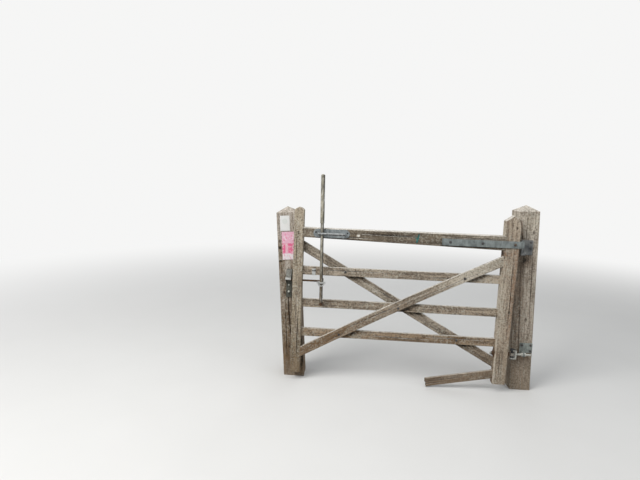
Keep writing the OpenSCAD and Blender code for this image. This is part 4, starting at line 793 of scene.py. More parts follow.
# Spots of the painted shadow that the hanging stile's head casts on the post: along and a
HEAD_SHADE = ((1.472, -0.080), (1.457, -0.070), (1.441, -0.061), (1.422, -0.056),
              (1.402, -0.052), (1.382, -0.050), (1.362, -0.048), (1.342, -0.047),
              (1.322, -0.046), (1.302, -0.045))
TEAL_TICK = ((-0.949, 0.030), (-0.953, 0.013), (-0.957, -0.004), (-0.961, -0.020),
             (-0.964, -0.034))
MARKS = {
    "hanging_post": {
        **POST_CUT, "seed": 3,
        "cracks": ((FRONT, -0.11, 1.27, 1.54, 0.006, 0.015),
                   (FRONT, 0.52, 0.55, 1.25, 0.006, 0.014),
                   (FRONT, -0.35, 0.18, 0.85, 0.005, 0.012), (RIGHT, 0.1, 0.5, 1.45, 0.008, 0.02),
                   (BACK, -0.15, 0.2, 1.3, 0.009, 0.022), (LEFT, 0.3, 0.6, 1.5, 0.006, 0.015)),
        "knots": ((1.36, 0.045, HANG_FRONT, 0.011), (0.62, 0.02, HANG_FRONT, 0.013),
                  (0.9, 0.0875, -0.02, 0.012)),
        # Spots beside the stile's head and down its edge, and under the top hook, are painted
        # shade; the others darken or pale the post
        "stains": ((1.526, 0.0, 0.0, 0.007, 0.40, 0.8), (1.44, 0.0, 0.0, 0.12, 0.40, -0.95),
                   (1.13, -0.02, HANG_FRONT, 0.05, 0.055, 1.2),
                   (1.38, -0.055, HANG_FRONT, 0.13, 0.026, 0.6),
                   *((s, a, HANG_FRONT, 0.016, 0.010, 1.0) for s, a in HEAD_SHADE),
                   (0.85, -0.05, HANG_FRONT, 0.45, 0.035, 0.7), (0.60, 0.0, 0.0, 0.60, 0.40, 0.45),
                   (0.32, 0.02, HANG_FRONT, 0.06, 0.050, 0.7))},
    "shutting_post": {
        **POST_CUT, "seed": 4,
        "cracks": ((FRONT, -0.18, 0.34, 0.76, 0.011, 0.026),
                   (FRONT, -0.80, 1.22, 1.45, 0.004, 0.010),
                   (FRONT, -0.55, 0.15, 0.6, 0.006, 0.014), (LEFT, 0.05, 0.4, 1.35, 0.008, 0.02),
                   (BACK, 0.2, 0.3, 1.4, 0.009, 0.022), (RIGHT, -0.2, 0.7, 1.4, 0.006, 0.016)),
        "knots": ((1.2, -0.07, SHUT_FRONT, 0.012), (0.75, -0.05, SHUT_FRONT, 0.012)),
        # The pale spots along the right front edge near the top are a painted highlight
        "stains": ((1.37, 0.08, SHUT_FRONT, 0.10, 0.020, -0.6),
                   (1.34, 0.089, SHUT_FRONT, 0.13, 0.008, -2.0),
                   (1.146, -0.075, SHUT_FRONT, 0.010, 0.018, 2.2),
                   (1.03, -0.068, SHUT_FRONT, 0.007, 0.020, 1.8),
                   (0.96, -0.015, SHUT_FRONT, 0.07, 0.022, -1.2),
                   (1.00, 0.0, 0.0, 0.18, 0.40, 0.48), (0.55, 0.0, 0.0, 0.42, 0.40, 0.75),
                   (0.20, 0.0, 0.0, 0.25, 0.40, 0.75), (1.38, 0.0, 0.0, 0.20, 0.40, 0.22),
                   (0.20, 0.075, SHUT_FRONT, 0.20, 0.050, 0.8),
                   (1.10, -0.08, SHUT_FRONT, 0.10, 0.030, 0.3))},
    "shutting_stile": {
        "seed": 7,
        "cracks": ((FRONT, -0.3, 0.98, 1.30, 0.005, 0.012), (FRONT, 0.25, 0.2, 0.62, 0.007, 0.016),
                   (FRONT, -0.1, 0.55, 0.86, 0.004, 0.010), (BACK, 0.2, 0.3, 1.2, 0.006, 0.015),
                   (RIGHT, 0.1, 0.55, 0.9, 0.004, 0.010), (LEFT, 0.1, 0.9, 1.4, 0.005, 0.012)),
        "knots": ((1.288, -0.003, THICK_FRONT, 0.010), (0.36, -0.012, THICK_FRONT, 0.011),
                  (0.83, 0.02, THICK_FRONT, 0.007)),
        "stains": ((0.15, 0.0, 0.0, 0.40, 0.30, 0.75), (1.00, 0.040, THICK_FRONT, 0.35, 0.014, 0.7),
                   (0.71, 0.0, THICK_FRONT, 0.04, 0.012, -1.0),
                   (0.62, -0.03, THICK_FRONT, 0.12, 0.020, 0.6),
                   (1.36, 0.0, THICK_FRONT, 0.08, 0.060, -0.4),
                   (1.33, -0.047, THICK_FRONT, 0.07, 0.005, 2.2))},
    "hanging_stile": {
        "seed": 8,
        "cracks": ((FRONT, 0.45, 0.6, 1.15, 0.006, 0.014), (FRONT, -0.2, 0.1, 0.42, 0.006, 0.014),
                   (FRONT, -0.05, 1.38, 1.47, 0.003, 0.006), (BACK, -0.3, 0.4, 1.3, 0.007, 0.016),
                   (LEFT, 0.1, 0.12, 0.5, 0.005, 0.012), (RIGHT, 0.2, 0.5, 1.1, 0.006, 0.014)),
        "knots": ((1.155, -0.052, THICK_FRONT, 0.008), (0.7, 0.03, THICK_FRONT, 0.011),
                  (1.40, 0.028, THICK_FRONT, 0.008)),
        # Spots at b 0 lie on the left side face: the dark ones at 1.1 to 1.2, under the top rail
        # and the front brace, are painted shadow, and the pale ones are partly bleaching, partly
        # painted light
        "stains": ((1.00, 0.045, THICK_FRONT, 0.28, 0.026, 0.95),
                   (0.60, 0.042, THICK_FRONT, 0.20, 0.022, 0.6),
                   (1.185, -0.0625, 0.0, 0.020, 0.060, 2.2), (1.10, -0.060, 0.0, 0.06, 0.040, 1.0),
                   (0.75, -0.055, 0.0, 0.32, 0.045, -1.2), (0.35, -0.054, 0.0, 0.03, 0.030, 1.8),
                   (0.13, 0.0, THICK_FRONT, 0.14, 0.060, -0.55),
                   (0.24, -0.052, THICK_FRONT, 0.20, 0.007, -1.5),
                   (1.06, -0.01, THICK_FRONT, 0.04, 0.03, -0.5),
                   (1.37, -0.0625, 0.0, 0.10, 0.038, -1.0))},
    "top_rail": {
        **RAIL_CUT, "step": (0.012, 0.0028), "arris": 1.0, "seed": 11,
        "cracks": ((FORE, 0.2, -1.45, -0.9, 0.006, 0.014), (FORE, -0.45, -1.85, -1.3, 0.005, 0.012),
                   (FORE, 0.55, -0.75, -0.3, 0.005, 0.012), (AFT, 0.1, -1.6, -0.5, 0.007, 0.016),
                   (TOP, 0.15, -1.5, -0.6, 0.006, 0.014)),
        "knots": ((-1.32, THICK_FRONT, 0.01, 0.010), (-0.95, THICK_FRONT, -0.02, 0.008)),
        "stains": ((-1.44, THICK_FRONT, -0.002, 0.013, 0.012, -3.4),
                   (-1.82, 0.0, 0.0, 0.06, 0.20, -0.25),
                   (-0.40, THICK_FRONT, 0.040, 0.25, 0.030, -0.5),
                   (-1.15, 0.0, 0.0, 0.35, 0.20, 0.2),
                   (-1.25, THICK_FRONT, 0.010, 0.22, 0.016, 1.0),
                   (-0.80, THICK_FRONT, -0.020, 0.15, 0.014, 0.8)),
        "paint": (*((x, THICK_FRONT, b, 0.007, 0.011, 1.0) for x, b in TEAL_TICK),
                  (-0.973, THICK_FRONT, 0.018, 0.004, 0.010, 0.75),
                  (-0.972, THICK_FRONT, 0.000, 0.004, 0.010, 0.75))},
    "broken_rail": {
        **RAIL_CUT, "step": (0.006, 0.0022), "seed": 19,
        "knots": ((-0.42, THIN_FRONT, 0.012, 0.008),),
        "stains": ((-0.77, 0.0, 0.0, 0.09, 0.20, 0.8), (-0.30, 0.0, 0.0, 0.05, 0.20, 0.5),
                   (-0.50, THIN_FRONT, -0.02, 0.10, 0.03, 0.5))},
    "front_brace": {
        **BRACE_MARKS, "seed": 23,
        "stains": ((-0.45, 0.0, 0.0, 0.27, 0.20, -1.45), (-1.05, 0.0, 0.0, 0.30, 0.20, 0.3),
                   (-1.70, 0.0, 0.0, 0.36, 0.20, 0.8))},
    "rear_brace": {
        **BRACE_MARKS, "seed": 26,
        "stains": ((-0.60, 0.0, 0.0, 0.35, 0.20, 0.10),
                   (-1.30, THIN_FRONT, -0.005, 0.09, 0.04, -1.6),
                   (-1.75, THIN_FRONT, 0.01, 0.10, 0.05, -0.5),
                   (-1.45, THIN_FRONT, 0.03, 0.2, 0.02, 0.8))},
}

# The teal tick and the worn spot of the top rail have stations of their own
FINE_STATIONS = (*np.linspace(-1.47, -1.41, 13), *np.linspace(-1.0, -0.935, 17))


# Settings that a user would change

class TimberSettings(bpy.types.PropertyGroup):
    """Wear and colours of the timbers."""
    arris: bpy.props.FloatProperty(
        name="Arris radius", description="Mean radius to which the sawn edges have worn",
        default=0.0055, min=0.001, max=0.015, unit="LENGTH", subtype="DISTANCE")
    wear: bpy.props.FloatProperty(
        name="Surface wear", description="Greatest depth of the ridges that the weather has left",
        default=0.0016, min=0.0, max=0.004, unit="LENGTH", subtype="DISTANCE")
    post_pale: bpy.props.FloatVectorProperty(
        name="Posts, pale", description="Bleached colour of the posts",
        default=(0.59, 0.525, 0.445), subtype="COLOR", min=0, max=1)
    post_dark: bpy.props.FloatVectorProperty(
        name="Posts, dark", description="Darker streaks of the posts",
        default=(0.225, 0.185, 0.145), subtype="COLOR", min=0, max=1)
    leaf_pale: bpy.props.FloatVectorProperty(
        name="Leaf, pale", description="Paler streaks of the stiles and rails",
        default=(0.46, 0.385, 0.30), subtype="COLOR", min=0, max=1)
    leaf_dark: bpy.props.FloatVectorProperty(
        name="Leaf, dark", description="Darker streaks of the stiles and rails",
        default=(0.15, 0.115, 0.085), subtype="COLOR", min=0, max=1)


class SteelSettings(bpy.types.PropertyGroup):
    """Colours and edges of the ironwork."""
    edge: bpy.props.FloatProperty(
        name="Edge rounding", description="Width of the rounding along the ironwork's edges",
        default=0.0009, min=0.0002, max=0.002, unit="LENGTH", subtype="DISTANCE")
    zinc: bpy.props.FloatVectorProperty(
        name="Zinc", description="Bright colour of the galvanised bands",
        default=(0.25, 0.28, 0.275), subtype="COLOR", min=0, max=1)
    dull: bpy.props.FloatVectorProperty(
        name="Dull zinc", description="Dull colour of the galvanised bands",
        default=(0.105, 0.12, 0.12), subtype="COLOR", min=0, max=1)


class NoticeSettings(bpy.types.PropertyGroup):
    """Colours of the faded notice."""
    pink: bpy.props.FloatVectorProperty(
        name="Faded pink", description="Ground of the faded notice",
        default=(0.73, 0.405, 0.53), subtype="COLOR", min=0, max=1)
    deep_pink: bpy.props.FloatVectorProperty(
        name="Deep pink", description="Band of the faded notice",
        default=(0.68, 0.125, 0.26), subtype="COLOR", min=0, max=1)


class StudioSettings(bpy.types.PropertyGroup):
    """Camera and lamps."""
    camera_place: bpy.props.FloatVectorProperty(
        name="Camera", description="Place of the camera", default=(-1.494, -4.115, 1.782),
        unit="LENGTH", subtype="TRANSLATION")
    lens: bpy.props.FloatProperty(
        name="Focal length", description="Focal length on a 36 mm sensor", default=27.0,
        min=10, max=100, unit="CAMERA")
    sky: bpy.props.FloatProperty(
        name="Sky strength", description="Strength of the even light from all round",
        default=0.35, min=0, max=2)
    key: bpy.props.FloatProperty(
        name="Key lamp", description="Power of the large lamp at the upper left", default=405,
        min=0, max=2000, unit="POWER")
    top: bpy.props.FloatProperty(
        name="Top lamp", description="Power of the wide lamp overhead", default=120,
        min=0, max=2000, unit="POWER")
    fill: bpy.props.FloatProperty(
        name="Fill lamps", description="Power of each weak lamp at the right and at the back",
        default=60, min=0, max=1000, unit="POWER")


class GateSettings(bpy.types.PropertyGroup):
    """All settings of the gate."""
    timber: bpy.props.PointerProperty(type=TimberSettings)
    steel: bpy.props.PointerProperty(type=SteelSettings)
    notices: bpy.props.PointerProperty(type=NoticeSettings)
    studio: bpy.props.PointerProperty(type=StudioSettings)


# Posts

def leaning(lean):
    """The directions up along a leaning post and to the right across it."""
    return (np.array([-math.sin(lean), 0, math.cos(lean)]),
            np.array([math.cos(lean), 0, math.sin(lean)]))


def post_piece(node_name, foot, w, h, lean, settings):
    """A square post with a pyramid cap: its half width falls evenly to the point above the eaves.

    Rings stand square to the leaning post, and the lowest ones are skewed down to level ground.
    """
    up, right = leaning(lean)
    top = h + CAP_RISE

    def section(s):
        """Lowest and highest a and b at each station."""
        cap = CAP_BLUNT + (w / 2 - CAP_BLUNT) * np.clip((top - s) / CAP_RISE, 0, 1)
        half = np.where(s <= h, w / 2, cap)
        return -half, half, -half, half

    def place(s, a, b):
        """Points of the shared frame: foot + level up + a right + b along +Y."""
        level = s - a * math.tan(lean) * np.clip(1 - s / SKEWED_FOOT, 0, 1)
        return (np.array(foot) + level[..., None] * up + a[..., None] * right
                + b[..., None] * np.array([0.0, 1.0, 0.0]))

    eaves = (*(h + step for step in EAVES_STEPS),
             *np.linspace(h + CAP_FROM, top - CAP_TO, CAP_STATIONS))
    timber(node_name, "posts", (0.0, top, *eaves), section, place, settings, **MARKS[node_name])


class GATE_OT_posts(bpy.types.Operator):
    """Both posts with their pyramid caps, drying cracks and darker feet"""
    bl_idname = "gate.posts"
    bl_label = "Posts"

    def execute(self, context):
        settings = context.scene.gate.timber
        post_piece("hanging_post", (0.0, 0.0, 0.0), HANG_POST_W, HANG_POST_H, HANG_POST_LEAN,
                   settings)
        low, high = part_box("shutting_post")
        foot = (high[0] - SHUT_POST_W / 2 / math.cos(SHUT_POST_LEAN), (low[1] + high[1]) / 2, 0.0)
        post_piece("shutting_post", foot, SHUT_POST_W, SHUT_POST_H, SHUT_POST_LEAN, settings)
        return {"FINISHED"}


# Leaf

def stile_piece(node_name, extra, sides, settings):
    """An upright of the leaf between its left and right sides, as thick as its CAD box."""
    low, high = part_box(node_name)
    timber(node_name, "leaf", (low[2], high[2], *extra), lambda s: (*sides(s), low[1], high[1]),
           lambda s, a, b: np.stack([a, b, s], -1), settings, **MARKS[node_name])


def rail_piece(node_name, stations, edges, settings, **marks):
    """A piece in plumb slices along X between its lower and upper edges, as thick as its box."""
    low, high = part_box(node_name)
    timber(node_name, "leaf", stations, lambda s: (low[1], high[1], *edges(s)),
           lambda s, a, b: np.stack([s, a, b], -1), settings, **marks)


def clear_opening():
    """Right side of the shutting stile and left side of the hanging stile."""
    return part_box("shutting_stile")[1][0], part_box("hanging_stile")[0][0]


class GATE_OT_stiles(bpy.types.Operator):
    """The shutting stile with its rounded head and the hanging stile with its pointed head"""
    bl_idname = "gate.stiles"
    bl_label = "Stiles"

    def execute(self, context):
        settings = context.scene.gate.timber
        self.shutting_stile(settings)
        self.hanging_stile(settings)
        return {"FINISHED"}

    def shutting_stile(self, settings):
        """Half its width is no more than the head's circle leaves above its centre."""
        low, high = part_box("shutting_stile")
        middle, half = (low[0] + high[0]) / 2, (high[0] - low[0]) / 2
        centre_z = high[2] - SHUT_HEAD_R
        shoulder = centre_z + math.sqrt(SHUT_HEAD_R ** 2 - half ** 2)

        def sides(s):
            """Left and right side at each height."""
            over = np.clip(s - centre_z, 0, SHUT_HEAD_R)
            h = np.clip(np.sqrt(SHUT_HEAD_R ** 2 - over ** 2), SHUT_HEAD_LEAST, half)
            return middle - h, middle + h

        head = np.linspace(shoulder - SHUT_HEAD_BELOW, high[2], SHUT_HEAD_STATIONS)
        stile_piece("shutting_stile", head, sides, settings)

    def hanging_stile(self, settings):
        """Left: plumb, then straight to the peak. Right: tapered, then a bow of the second degree.

        The bow runs from the round shoulder to the peak, drawn towards the elbow above the
        shoulder, and its share t is the root of (zs - 2ze + zp)t2 + 2(ze - zs)t + zs - s.
        """
        low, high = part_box("hanging_stile")
        shoulder, round_z = high[2] - HANG_HEAD_RISE, high[2] - HANG_ROUND_RISE
        elbow_z = high[2] - HANG_ELBOW_DROP
        peak = high[0] - HANG_PEAK_IN
        taper = (high[0] - low[0] - HANG_STILE_FOOT_W) / (round_z - low[2])
        curve, rise = round_z - 2 * elbow_z + high[2], elbow_z - round_z

        def sides(s):
            """Left and right side at each height."""
            over = np.clip((s - shoulder) / HANG_HEAD_RISE, 0, 1)
            left = low[0] + (peak - HANG_PEAK_BLUNT - low[0]) * over
            above = np.clip(s - round_z, 0, None)
            share = (-rise + np.sqrt(np.maximum(rise ** 2 + curve * above, 0))) / curve
            right = (high[0] - taper * np.clip(round_z - s, 0, None)
                     - (HANG_PEAK_IN - HANG_PEAK_BLUNT) * share ** 2)
            return left, right

        head = np.linspace(round_z, high[2], HANG_HEAD_STATIONS)
        stile_piece("hanging_stile", head, sides, settings)


class GATE_OT_rails(bpy.types.Operator):
    """The deep top rail, three thin rails and the broken lowest rail"""
    bl_idname = "gate.rails"
    bl_label = "Rails"

    def execute(self, context):
        settings = context.scene.gate.timber
        left, right = clear_opening()
        self.top_rail(left, right, settings)
        for number, name in enumerate(("second_rail", "third_rail", "bottom_rail")):
            self.thin_rail(number, name, left, right, settings)
        self.broken_rail(right, settings)
        return {"FINISHED"}

    def top_rail(self, left, right, settings):
        """Its depth grows evenly from the latch to the hinge. Painted shadow lies under band and
        guide.
        """
        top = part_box("top_rail")[1][2]

        def edges(s):
            """Lower and upper edge at each x."""
            share = np.clip((s - left) / (right - left), 0, 1)
            return top - TOP_RAIL_LATCH_D - (TOP_RAIL_HINGE_D - TOP_RAIL_LATCH_D) * share, top

        band_x, _, band_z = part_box("top_band_front")[0]
        # Painted shadow under the band, at its left end and under the guide
        darkening = [(x, THICK_FRONT, band_z - BAND_SHADOW_DROP - sum(edges(x)) / 2, *UNDER_BAND)
                for x in np.linspace(band_x, BAND_SHADOW_END_X, 16)]
        darkening += [(band_x - BAND_END_OFF, THICK_FRONT, b, *BAND_END) for b in BAND_END_B]
        darkening += [(x, THICK_FRONT, GUIDE_SHADOW_B, *UNDER_GUIDE)
                 for x in np.linspace(*GUIDE_SHADOW_X, 14)]
        marks = dict(MARKS["top_rail"])
        marks["stains"] += tuple(darkening)
        stations = (left - SEAT, right + SEAT, *FINE_STATIONS)
        rail_piece("top_rail", stations, edges, settings, **marks)

    def thin_rail(self, number, name, left, right, settings):
        """A straight rail with painted shadow where the front brace's lower edge and rear brace
        cross.
        """
        (_, _, low_z), (_, _, high_z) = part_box(name)
        clear, middle = right - left, (low_z + high_z) / 2
        # Painted shadow below the front brace's lower edge, and behind, where the rear brace
        # crosses
        stains = [(left + clear * (middle + b + FRONT_BRACE_SHADE - FRONT_BRACE_LOW_Z)
                   / FRONT_BRACE_RISE, THIN_FRONT, b, *FRONT_BRACE_OVER)
                  for b in FRONT_BRACE_OVER_B]
        stains.append((left + clear * (REAR_BRACE_HIGH_Z - middle) / REAR_BRACE_FALL, -THIN_FRONT,
                       0.0, *REAR_BRACE_BEHIND))
        if name == "bottom_rail":
            stains.append(BOTTOM_RAIL_STAIN)
        # Cracks and knots move on from rail to rail, so that no two rails look alike
        shift = 0.2 * number
        cracks = ((FORE, 0.25 - shift, -1.7 + shift, -1.2 + shift, 0.005, 0.009),
                  (FORE, -0.3 + 0.3 * number, -0.85, -0.35, 0.005, 0.009),
                  (AFT, 0.1 * number, -1.5, -0.6, 0.006, 0.009))
        knots = ((-1.45 + 0.3 * number, THIN_FRONT, 0.01, 0.008),
                 (-0.6 - 0.15 * number, THIN_FRONT, -0.015, 0.009))
        rail_piece(name, (left - SEAT, right + SEAT), lambda s: (low_z, high_z), settings,
                   seed=14 + number, cracks=cracks, knots=knots, stains=stains, **RAIL_CUT)

    def broken_rail(self, right, settings):
        """What is left of the lowest rail: it droops to the left and ends in splinters."""
        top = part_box("broken_rail")[1][2]
        stub_left = right - STUB_LENGTH * math.cos(STUB_DROOP)
        plumb_d = RAIL_D / math.cos(STUB_DROOP)

        def edges(s):
            """Lower and upper edge at each x."""
            upper = top + (s - right) * math.tan(STUB_DROOP)
            return upper - plumb_d, upper

        def splintered(run, a, b):
            """The left end is drawn back by tall narrow noise, more at its lower edge."""
            ease = np.clip((stub_left + STUB_SPLINTERS - run) / STUB_SPLINTERS, 0, 1)
            teeth = noise(a * 110, b * 260, 0.0, 5) * 0.6 + noise(a * 40, b * 90, 0.0, 6) * 0.4
            lower = np.clip(0.5 - b / plumb_d, 0, 1)
            return run + ease ** 1.3 * (STUB_TEETH * teeth + STUB_LOWER_BACK * lower)

        start = stub_left - 0.1
        rail_piece("broken_rail", (stub_left, right + SEAT), edges, settings, fray=splintered,
                   cracks=((FORE, 0.1, start, -0.45, 0.006, 0.010),
                           (FORE, -0.4, start, -0.62, 0.005, 0.009),
                           (AFT, 0.2, start, -0.5, 0.006, 0.010)), **MARKS["broken_rail"])


def half_plumb_depth(height, span):
    """Half a brace's depth over the cosine of the slope that this depth leaves in its height."""
    half = BRACE_D / 2
    for _ in range(12):
        half = BRACE_D / 2 * math.hypot(1, (height - 2 * half) / span)
    return half


class GATE_OT_braces(bpy.types.Operator):
    """The two long crossed braces, one before the rails and one behind them"""
    bl_idname = "gate.braces"
    bl_label = "Braces"

    def execute(self, context):
        settings = context.scene.gate.timber
        left, right = clear_opening()
        self.brace("front_brace", left, right, FRONT_BRACE_BOW, True, (), settings)
        # Painted shadow on the rear brace just below each rail that crosses it
        shaded = []
        for rail in ("second_rail", "third_rail", "bottom_rail"):
            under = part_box(rail)[0][2] - RAIL_SHADE
            shaded += [(REAR_BRACE_LEFT_X + (REAR_BRACE_HIGH_Z - under + b) / REAR_BRACE_SLOPE,
                        THIN_FRONT, b, *RAIL_OVER) for b in RAIL_OVER_B]
        self.brace("rear_brace", left, right, 0.0, False, tuple(shaded), settings)
        return {"FINISHED"}

    def brace(self, name, left, right, bow, rising, shaded, settings):
        """A slanted piece whose middle line is bowed by 4 bow t(1 - t)."""
        low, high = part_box(name)
        span = right - left
        half = half_plumb_depth(high[2] - low[2], span)
        ends = (low[2] + half, high[2] - half)
        latch_z, hinge_z = ends if rising else ends[::-1]

        def edges(s):
            """Lower and upper edge at each x."""
            t = np.clip((s - left) / span, -0.01, 1.01)
            middle = latch_z + (hinge_z - latch_z) * t + 4 * bow * t * (1 - t)
            return middle - half, middle + half

        marks = dict(MARKS[name])
        marks["stains"] += shaded
        rail_piece(name, (left - SEAT / 3, right + SEAT / 3), edges, settings, **marks)


# Ironwork

def merged(node_name):
    """A CAD node's mesh in work, with its doubles merged."""
    work = bmesh.new()
    work.from_mesh(frame["nodes"][node_name].data)
    bmesh.ops.remove_doubles(work, verts=work.verts, dist=MERGED_WITHIN)
    return work


def softened(node_name, material, edge, patches=()):
    """A copy of a CAD node, merged and with its flat faces whole, whose edges a bevel rounds.

    It is held a little inside the node's box, because a bevel may bulge that far.
    """
    work = merged(node_name)
    bmesh.ops.dissolve_limit(work, angle_limit=FLAT_ANGLE, verts=work.verts, edges=work.edges)
    bmesh.ops.recalc_face_normals(work, faces=work.faces)
    mesh = bpy.data.meshes.new(node_name + "_iron")
    work.to_mesh(mesh)
    work.free()
    low, high = (np.array(corner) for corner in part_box(node_name))
    points = np.zeros(len(mesh.vertices) * 3, np.float32)
    mesh.vertices.foreach_get("co", points)
    points = np.clip(points.reshape(-1, 3), low + BEVEL_SLACK, high - BEVEL_SLACK)
    mesh.vertices.foreach_set("co", points.astype(np.float32).ravel())
    give_materials(mesh, material, patches)
    mesh.shade_smooth()
    mesh.set_sharp_from_angle(angle=EDGE_ANGLE)
    obj = in_scene(node_name + "_iron", mesh)
    bevel = obj.modifiers.new("edges", "BEVEL")
    bevel.width = edge
    bevel.segments = 2
    bevel.limit_method = "ANGLE"
    bevel.angle_limit = EDGE_ANGLE
    bevel.use_clamp_overlap = True
    bevel.harden_normals = False
    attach(obj, frame["nodes"][node_name]["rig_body"])
    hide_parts(node_name)


def solids_of(node_name):
    """Middle x and z, front y and back y of each separate solid of a CAD node, left to right."""
    work = merged(node_name)
    seen, found = set(), []
    for start in work.verts:
        if start in seen:
            continue
        stack, island = [start], []
        seen.add(start)
        while stack:
            vert = stack.pop()
            island.append(vert.co[:])
            near = {edge.other_vert(vert) for edge in vert.link_edges} - seen
            seen |= near
            stack += near
        island = np.array(island)
        found.append((island.min(0), island.max(0)))
    work.free()
    found.sort(key=lambda box: (round(box[0][0], 3), box[0][2]))
    return [((low[0] + high[0]) / 2, (low[2] + high[2]) / 2, low[1], high[1])
            for low, high in found]


def dome_head(x, y, z, radius, height):
    """Round head of a bolt against a face at y, its edge upright and its top a shallow dome."""
    profile = [(radius, 0.0), (radius, height * 0.25)]
    turn = np.linspace(0.15, math.pi / 2 * 0.97, 7)
    profile += [(radius * math.cos(t), height * (0.25 + 0.75 * math.sin(t))) for t in turn]
    return revolve(profile, (x, y, z), (0, -1, 0), 28)


def hex_head(x, y, z, flats_w, height, direction=-1):
    """Hexagon head or nut whose corners are chamfered by a cone at its outer end."""
    corner_r = flats_w / 2 / math.cos(math.pi / 6)
    profile = [(corner_r, 0.0), (corner_r, height * 0.78), (corner_r * 0.94, height * 0.92),
               (corner_r * 0.80, height)]
    return revolve(profile, (x, y, z), (0, direction, 0), 48, flats=6)


def plain_bar(x, y0, y1, z, radius):
    """Round bar along Y with slightly rounded ends."""
    length = y1 - y0
    lip = min(0.001, length * 0.2)
    profile = [(radius - lip, 0.0), (radius, lip), (radius, length - lip), (radius - lip, length)]
    return revolve(profile, (x, y0, z), (0, 1, 0), 24)


def through_bolts(node_name, head_r, head_h, nut_w, nut_h):
    """A dome head in front, a bar and a nut behind for each bolt of a CAD node."""
    parts = []
    for x, z, front, back in solids_of(node_name):
        parts += [dome_head(x, front + head_h, z, head_r, head_h),
                  plain_bar(x, front + head_h, back - nut_h, z, BOLT_R),
                  hex_head(x, back - nut_h, z, nut_w, nut_h, 1)]
    return parts


def threaded_rod(x0, x1, y, z):
    """A rod along X whose radius is a triangle wave of (x / pitch - angle / a full turn)."""
    sides = 28
    rows = int((x1 - x0) / (THREAD_PITCH / 5)) + 1
    x = np.linspace(x0, x1, rows)[:, None]
    turn = (np.arange(sides) / sides * 2 * math.pi)[None, :]
    wave = np.abs(((x / THREAD_PITCH - turn / (2 * math.pi)) % 1) * 2 - 1)
    r = ROD_DIAMETER / 2 + THREAD_PROUD - THREAD_DEPTH * wave
    r = r * np.where((x <= x0 + THREAD_RUN_IN) | (x >= x1 - THREAD_RUN_IN), 0.9, 1.0)
    points = np.stack([np.broadcast_to(x, r.shape), y + r * np.cos(turn), z + r * np.sin(turn)], -1)
    return points.reshape(-1, 3), closed_faces(rows, sides)


class GATE_OT_hinges(bpy.types.Operator):
    """The top band and hook, and the bottom yoke, pin, eye bolt and plates"""
    bl_idname = "gate.hinges"
    bl_label = "Hinges"

    def execute(self, context):
        settings = context.scene.gate.steel
        zinc = metal("galvanised_iron", {"Bright": tuple(settings.zinc),
                                         "Dull": tuple(settings.dull)})
        bright, black = metal("bright_worn_iron"), metal("black_iron")
        (yoke_left, _, _), (yoke_right, _, yoke_top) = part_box("bottom_yoke")
        arms = (lambda x, y, z: z > yoke_top - YOKE_ARM_H, black)
        for name, material, *patches in (
                ("top_band_front", zinc), ("top_band_back", zinc),
                ("top_hook", metal("dark_hook_iron")),
                ("bottom_hook_plate", metal("slate_plate_iron")),
                ("bottom_yoke", bright, arms), ("bottom_pin", black),
                ("bottom_eye_bolt", metal("worn_eye_iron"))):
            softened(name, material, settings.edge, patches)
        softened("eye_bolt_nuts", metal("rusted_iron"), settings.edge)

        low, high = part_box("bottom_eye_bolt")
        y, z = (low[1] + high[1]) / 2, (low[2] + high[2]) / 2
        nut_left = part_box("eye_bolt_nuts")[0][0]
        stub = threaded_rod(low[0] - END_PROUD, nut_left + NUT_TUCK, y, z)
        make_object("eye_bolt_thread", stub, "leaf", bright)
        in_nut = ROD_NUT_H - NUT_TUCK
        rods = joined([
            threaded_rod(yoke_left + YOKE_REACH - YOKE_TUCK, LUG_LEFT_X - in_nut, y, z),
            threaded_rod(LUG_RIGHT_X + in_nut, yoke_right + END_PROUD, y, z)])
        make_object("yoke_rod_thread", rods, "posts", bright)
        return {"FINISHED"}


class GATE_OT_latch(bpy.types.Operator):
    """The lever with its grip, guide and clamp, the latch rod, the catch and the small cleat"""
    bl_idname = "gate.latch"
    bl_label = "Latch"

    def execute(self, context):
        settings = context.scene.gate.steel
        cleat = metal("cleat_iron")
        # Painted shadow lines along the guide bar's lower edge and across the small cleat
        _, bar_front, bar_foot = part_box("lever_guide")[0]
        bar = metal("guide_bar_iron", {"Shadow Z": bar_foot + GUIDE_SHADOW_UP,
                                       "Shadow Half": GUIDE_SHADOW_HALF})
        (_, _, cleat_foot), (_, _, cleat_top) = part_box("rail_cleat")
        small = metal("rail_cleat_iron", {
            "Shadow Z": cleat_top - CLEAT_SHADOW_SHARE * (cleat_top - cleat_foot)})
        catch_right, catch_back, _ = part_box("latch_catch")[1]
        plate_y, lip_z = catch_back - CATCH_PLATE_T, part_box("latch_rod")[1][2] - CATCH_LIP_DROP
        # The catch's right side is black, painted shade of its opening; its plate and lower part
        # are dark and its hood's front edge light
        catch = ((lambda x, y, z: (z < lip_z) | (y > plate_y) & (z < lip_z + CATCH_UPPER_H),
                  metal("catch_plate_iron")),
                 (lambda x, y, z: (y < plate_y - CATCH_HOOD_REACH) & (z > lip_z - CATCH_EDGE_DROP),
                  cleat),
                 (lambda x, y, z: x > catch_right - CATCH_SIDE_T, metal("black_iron")))
        for name, material, *patches in (
                ("lever_guide", metal("guide_plate_iron"),
                 (lambda x, y, z: y < bar_front + GUIDE_BAR_D, bar)),
                ("latch_lever", metal("lever_tube_iron")),
                ("lever_grip", metal("lever_grip_iron")),
                ("lever_clamp", cleat), ("rail_cleat", small),
                ("latch_catch", metal("catch_hood_iron"), *catch)):
            softened(name, material, settings.edge, patches)
        softened("latch_rod", metal("rusted_iron"), settings.edge)
        return {"FINISHED"}


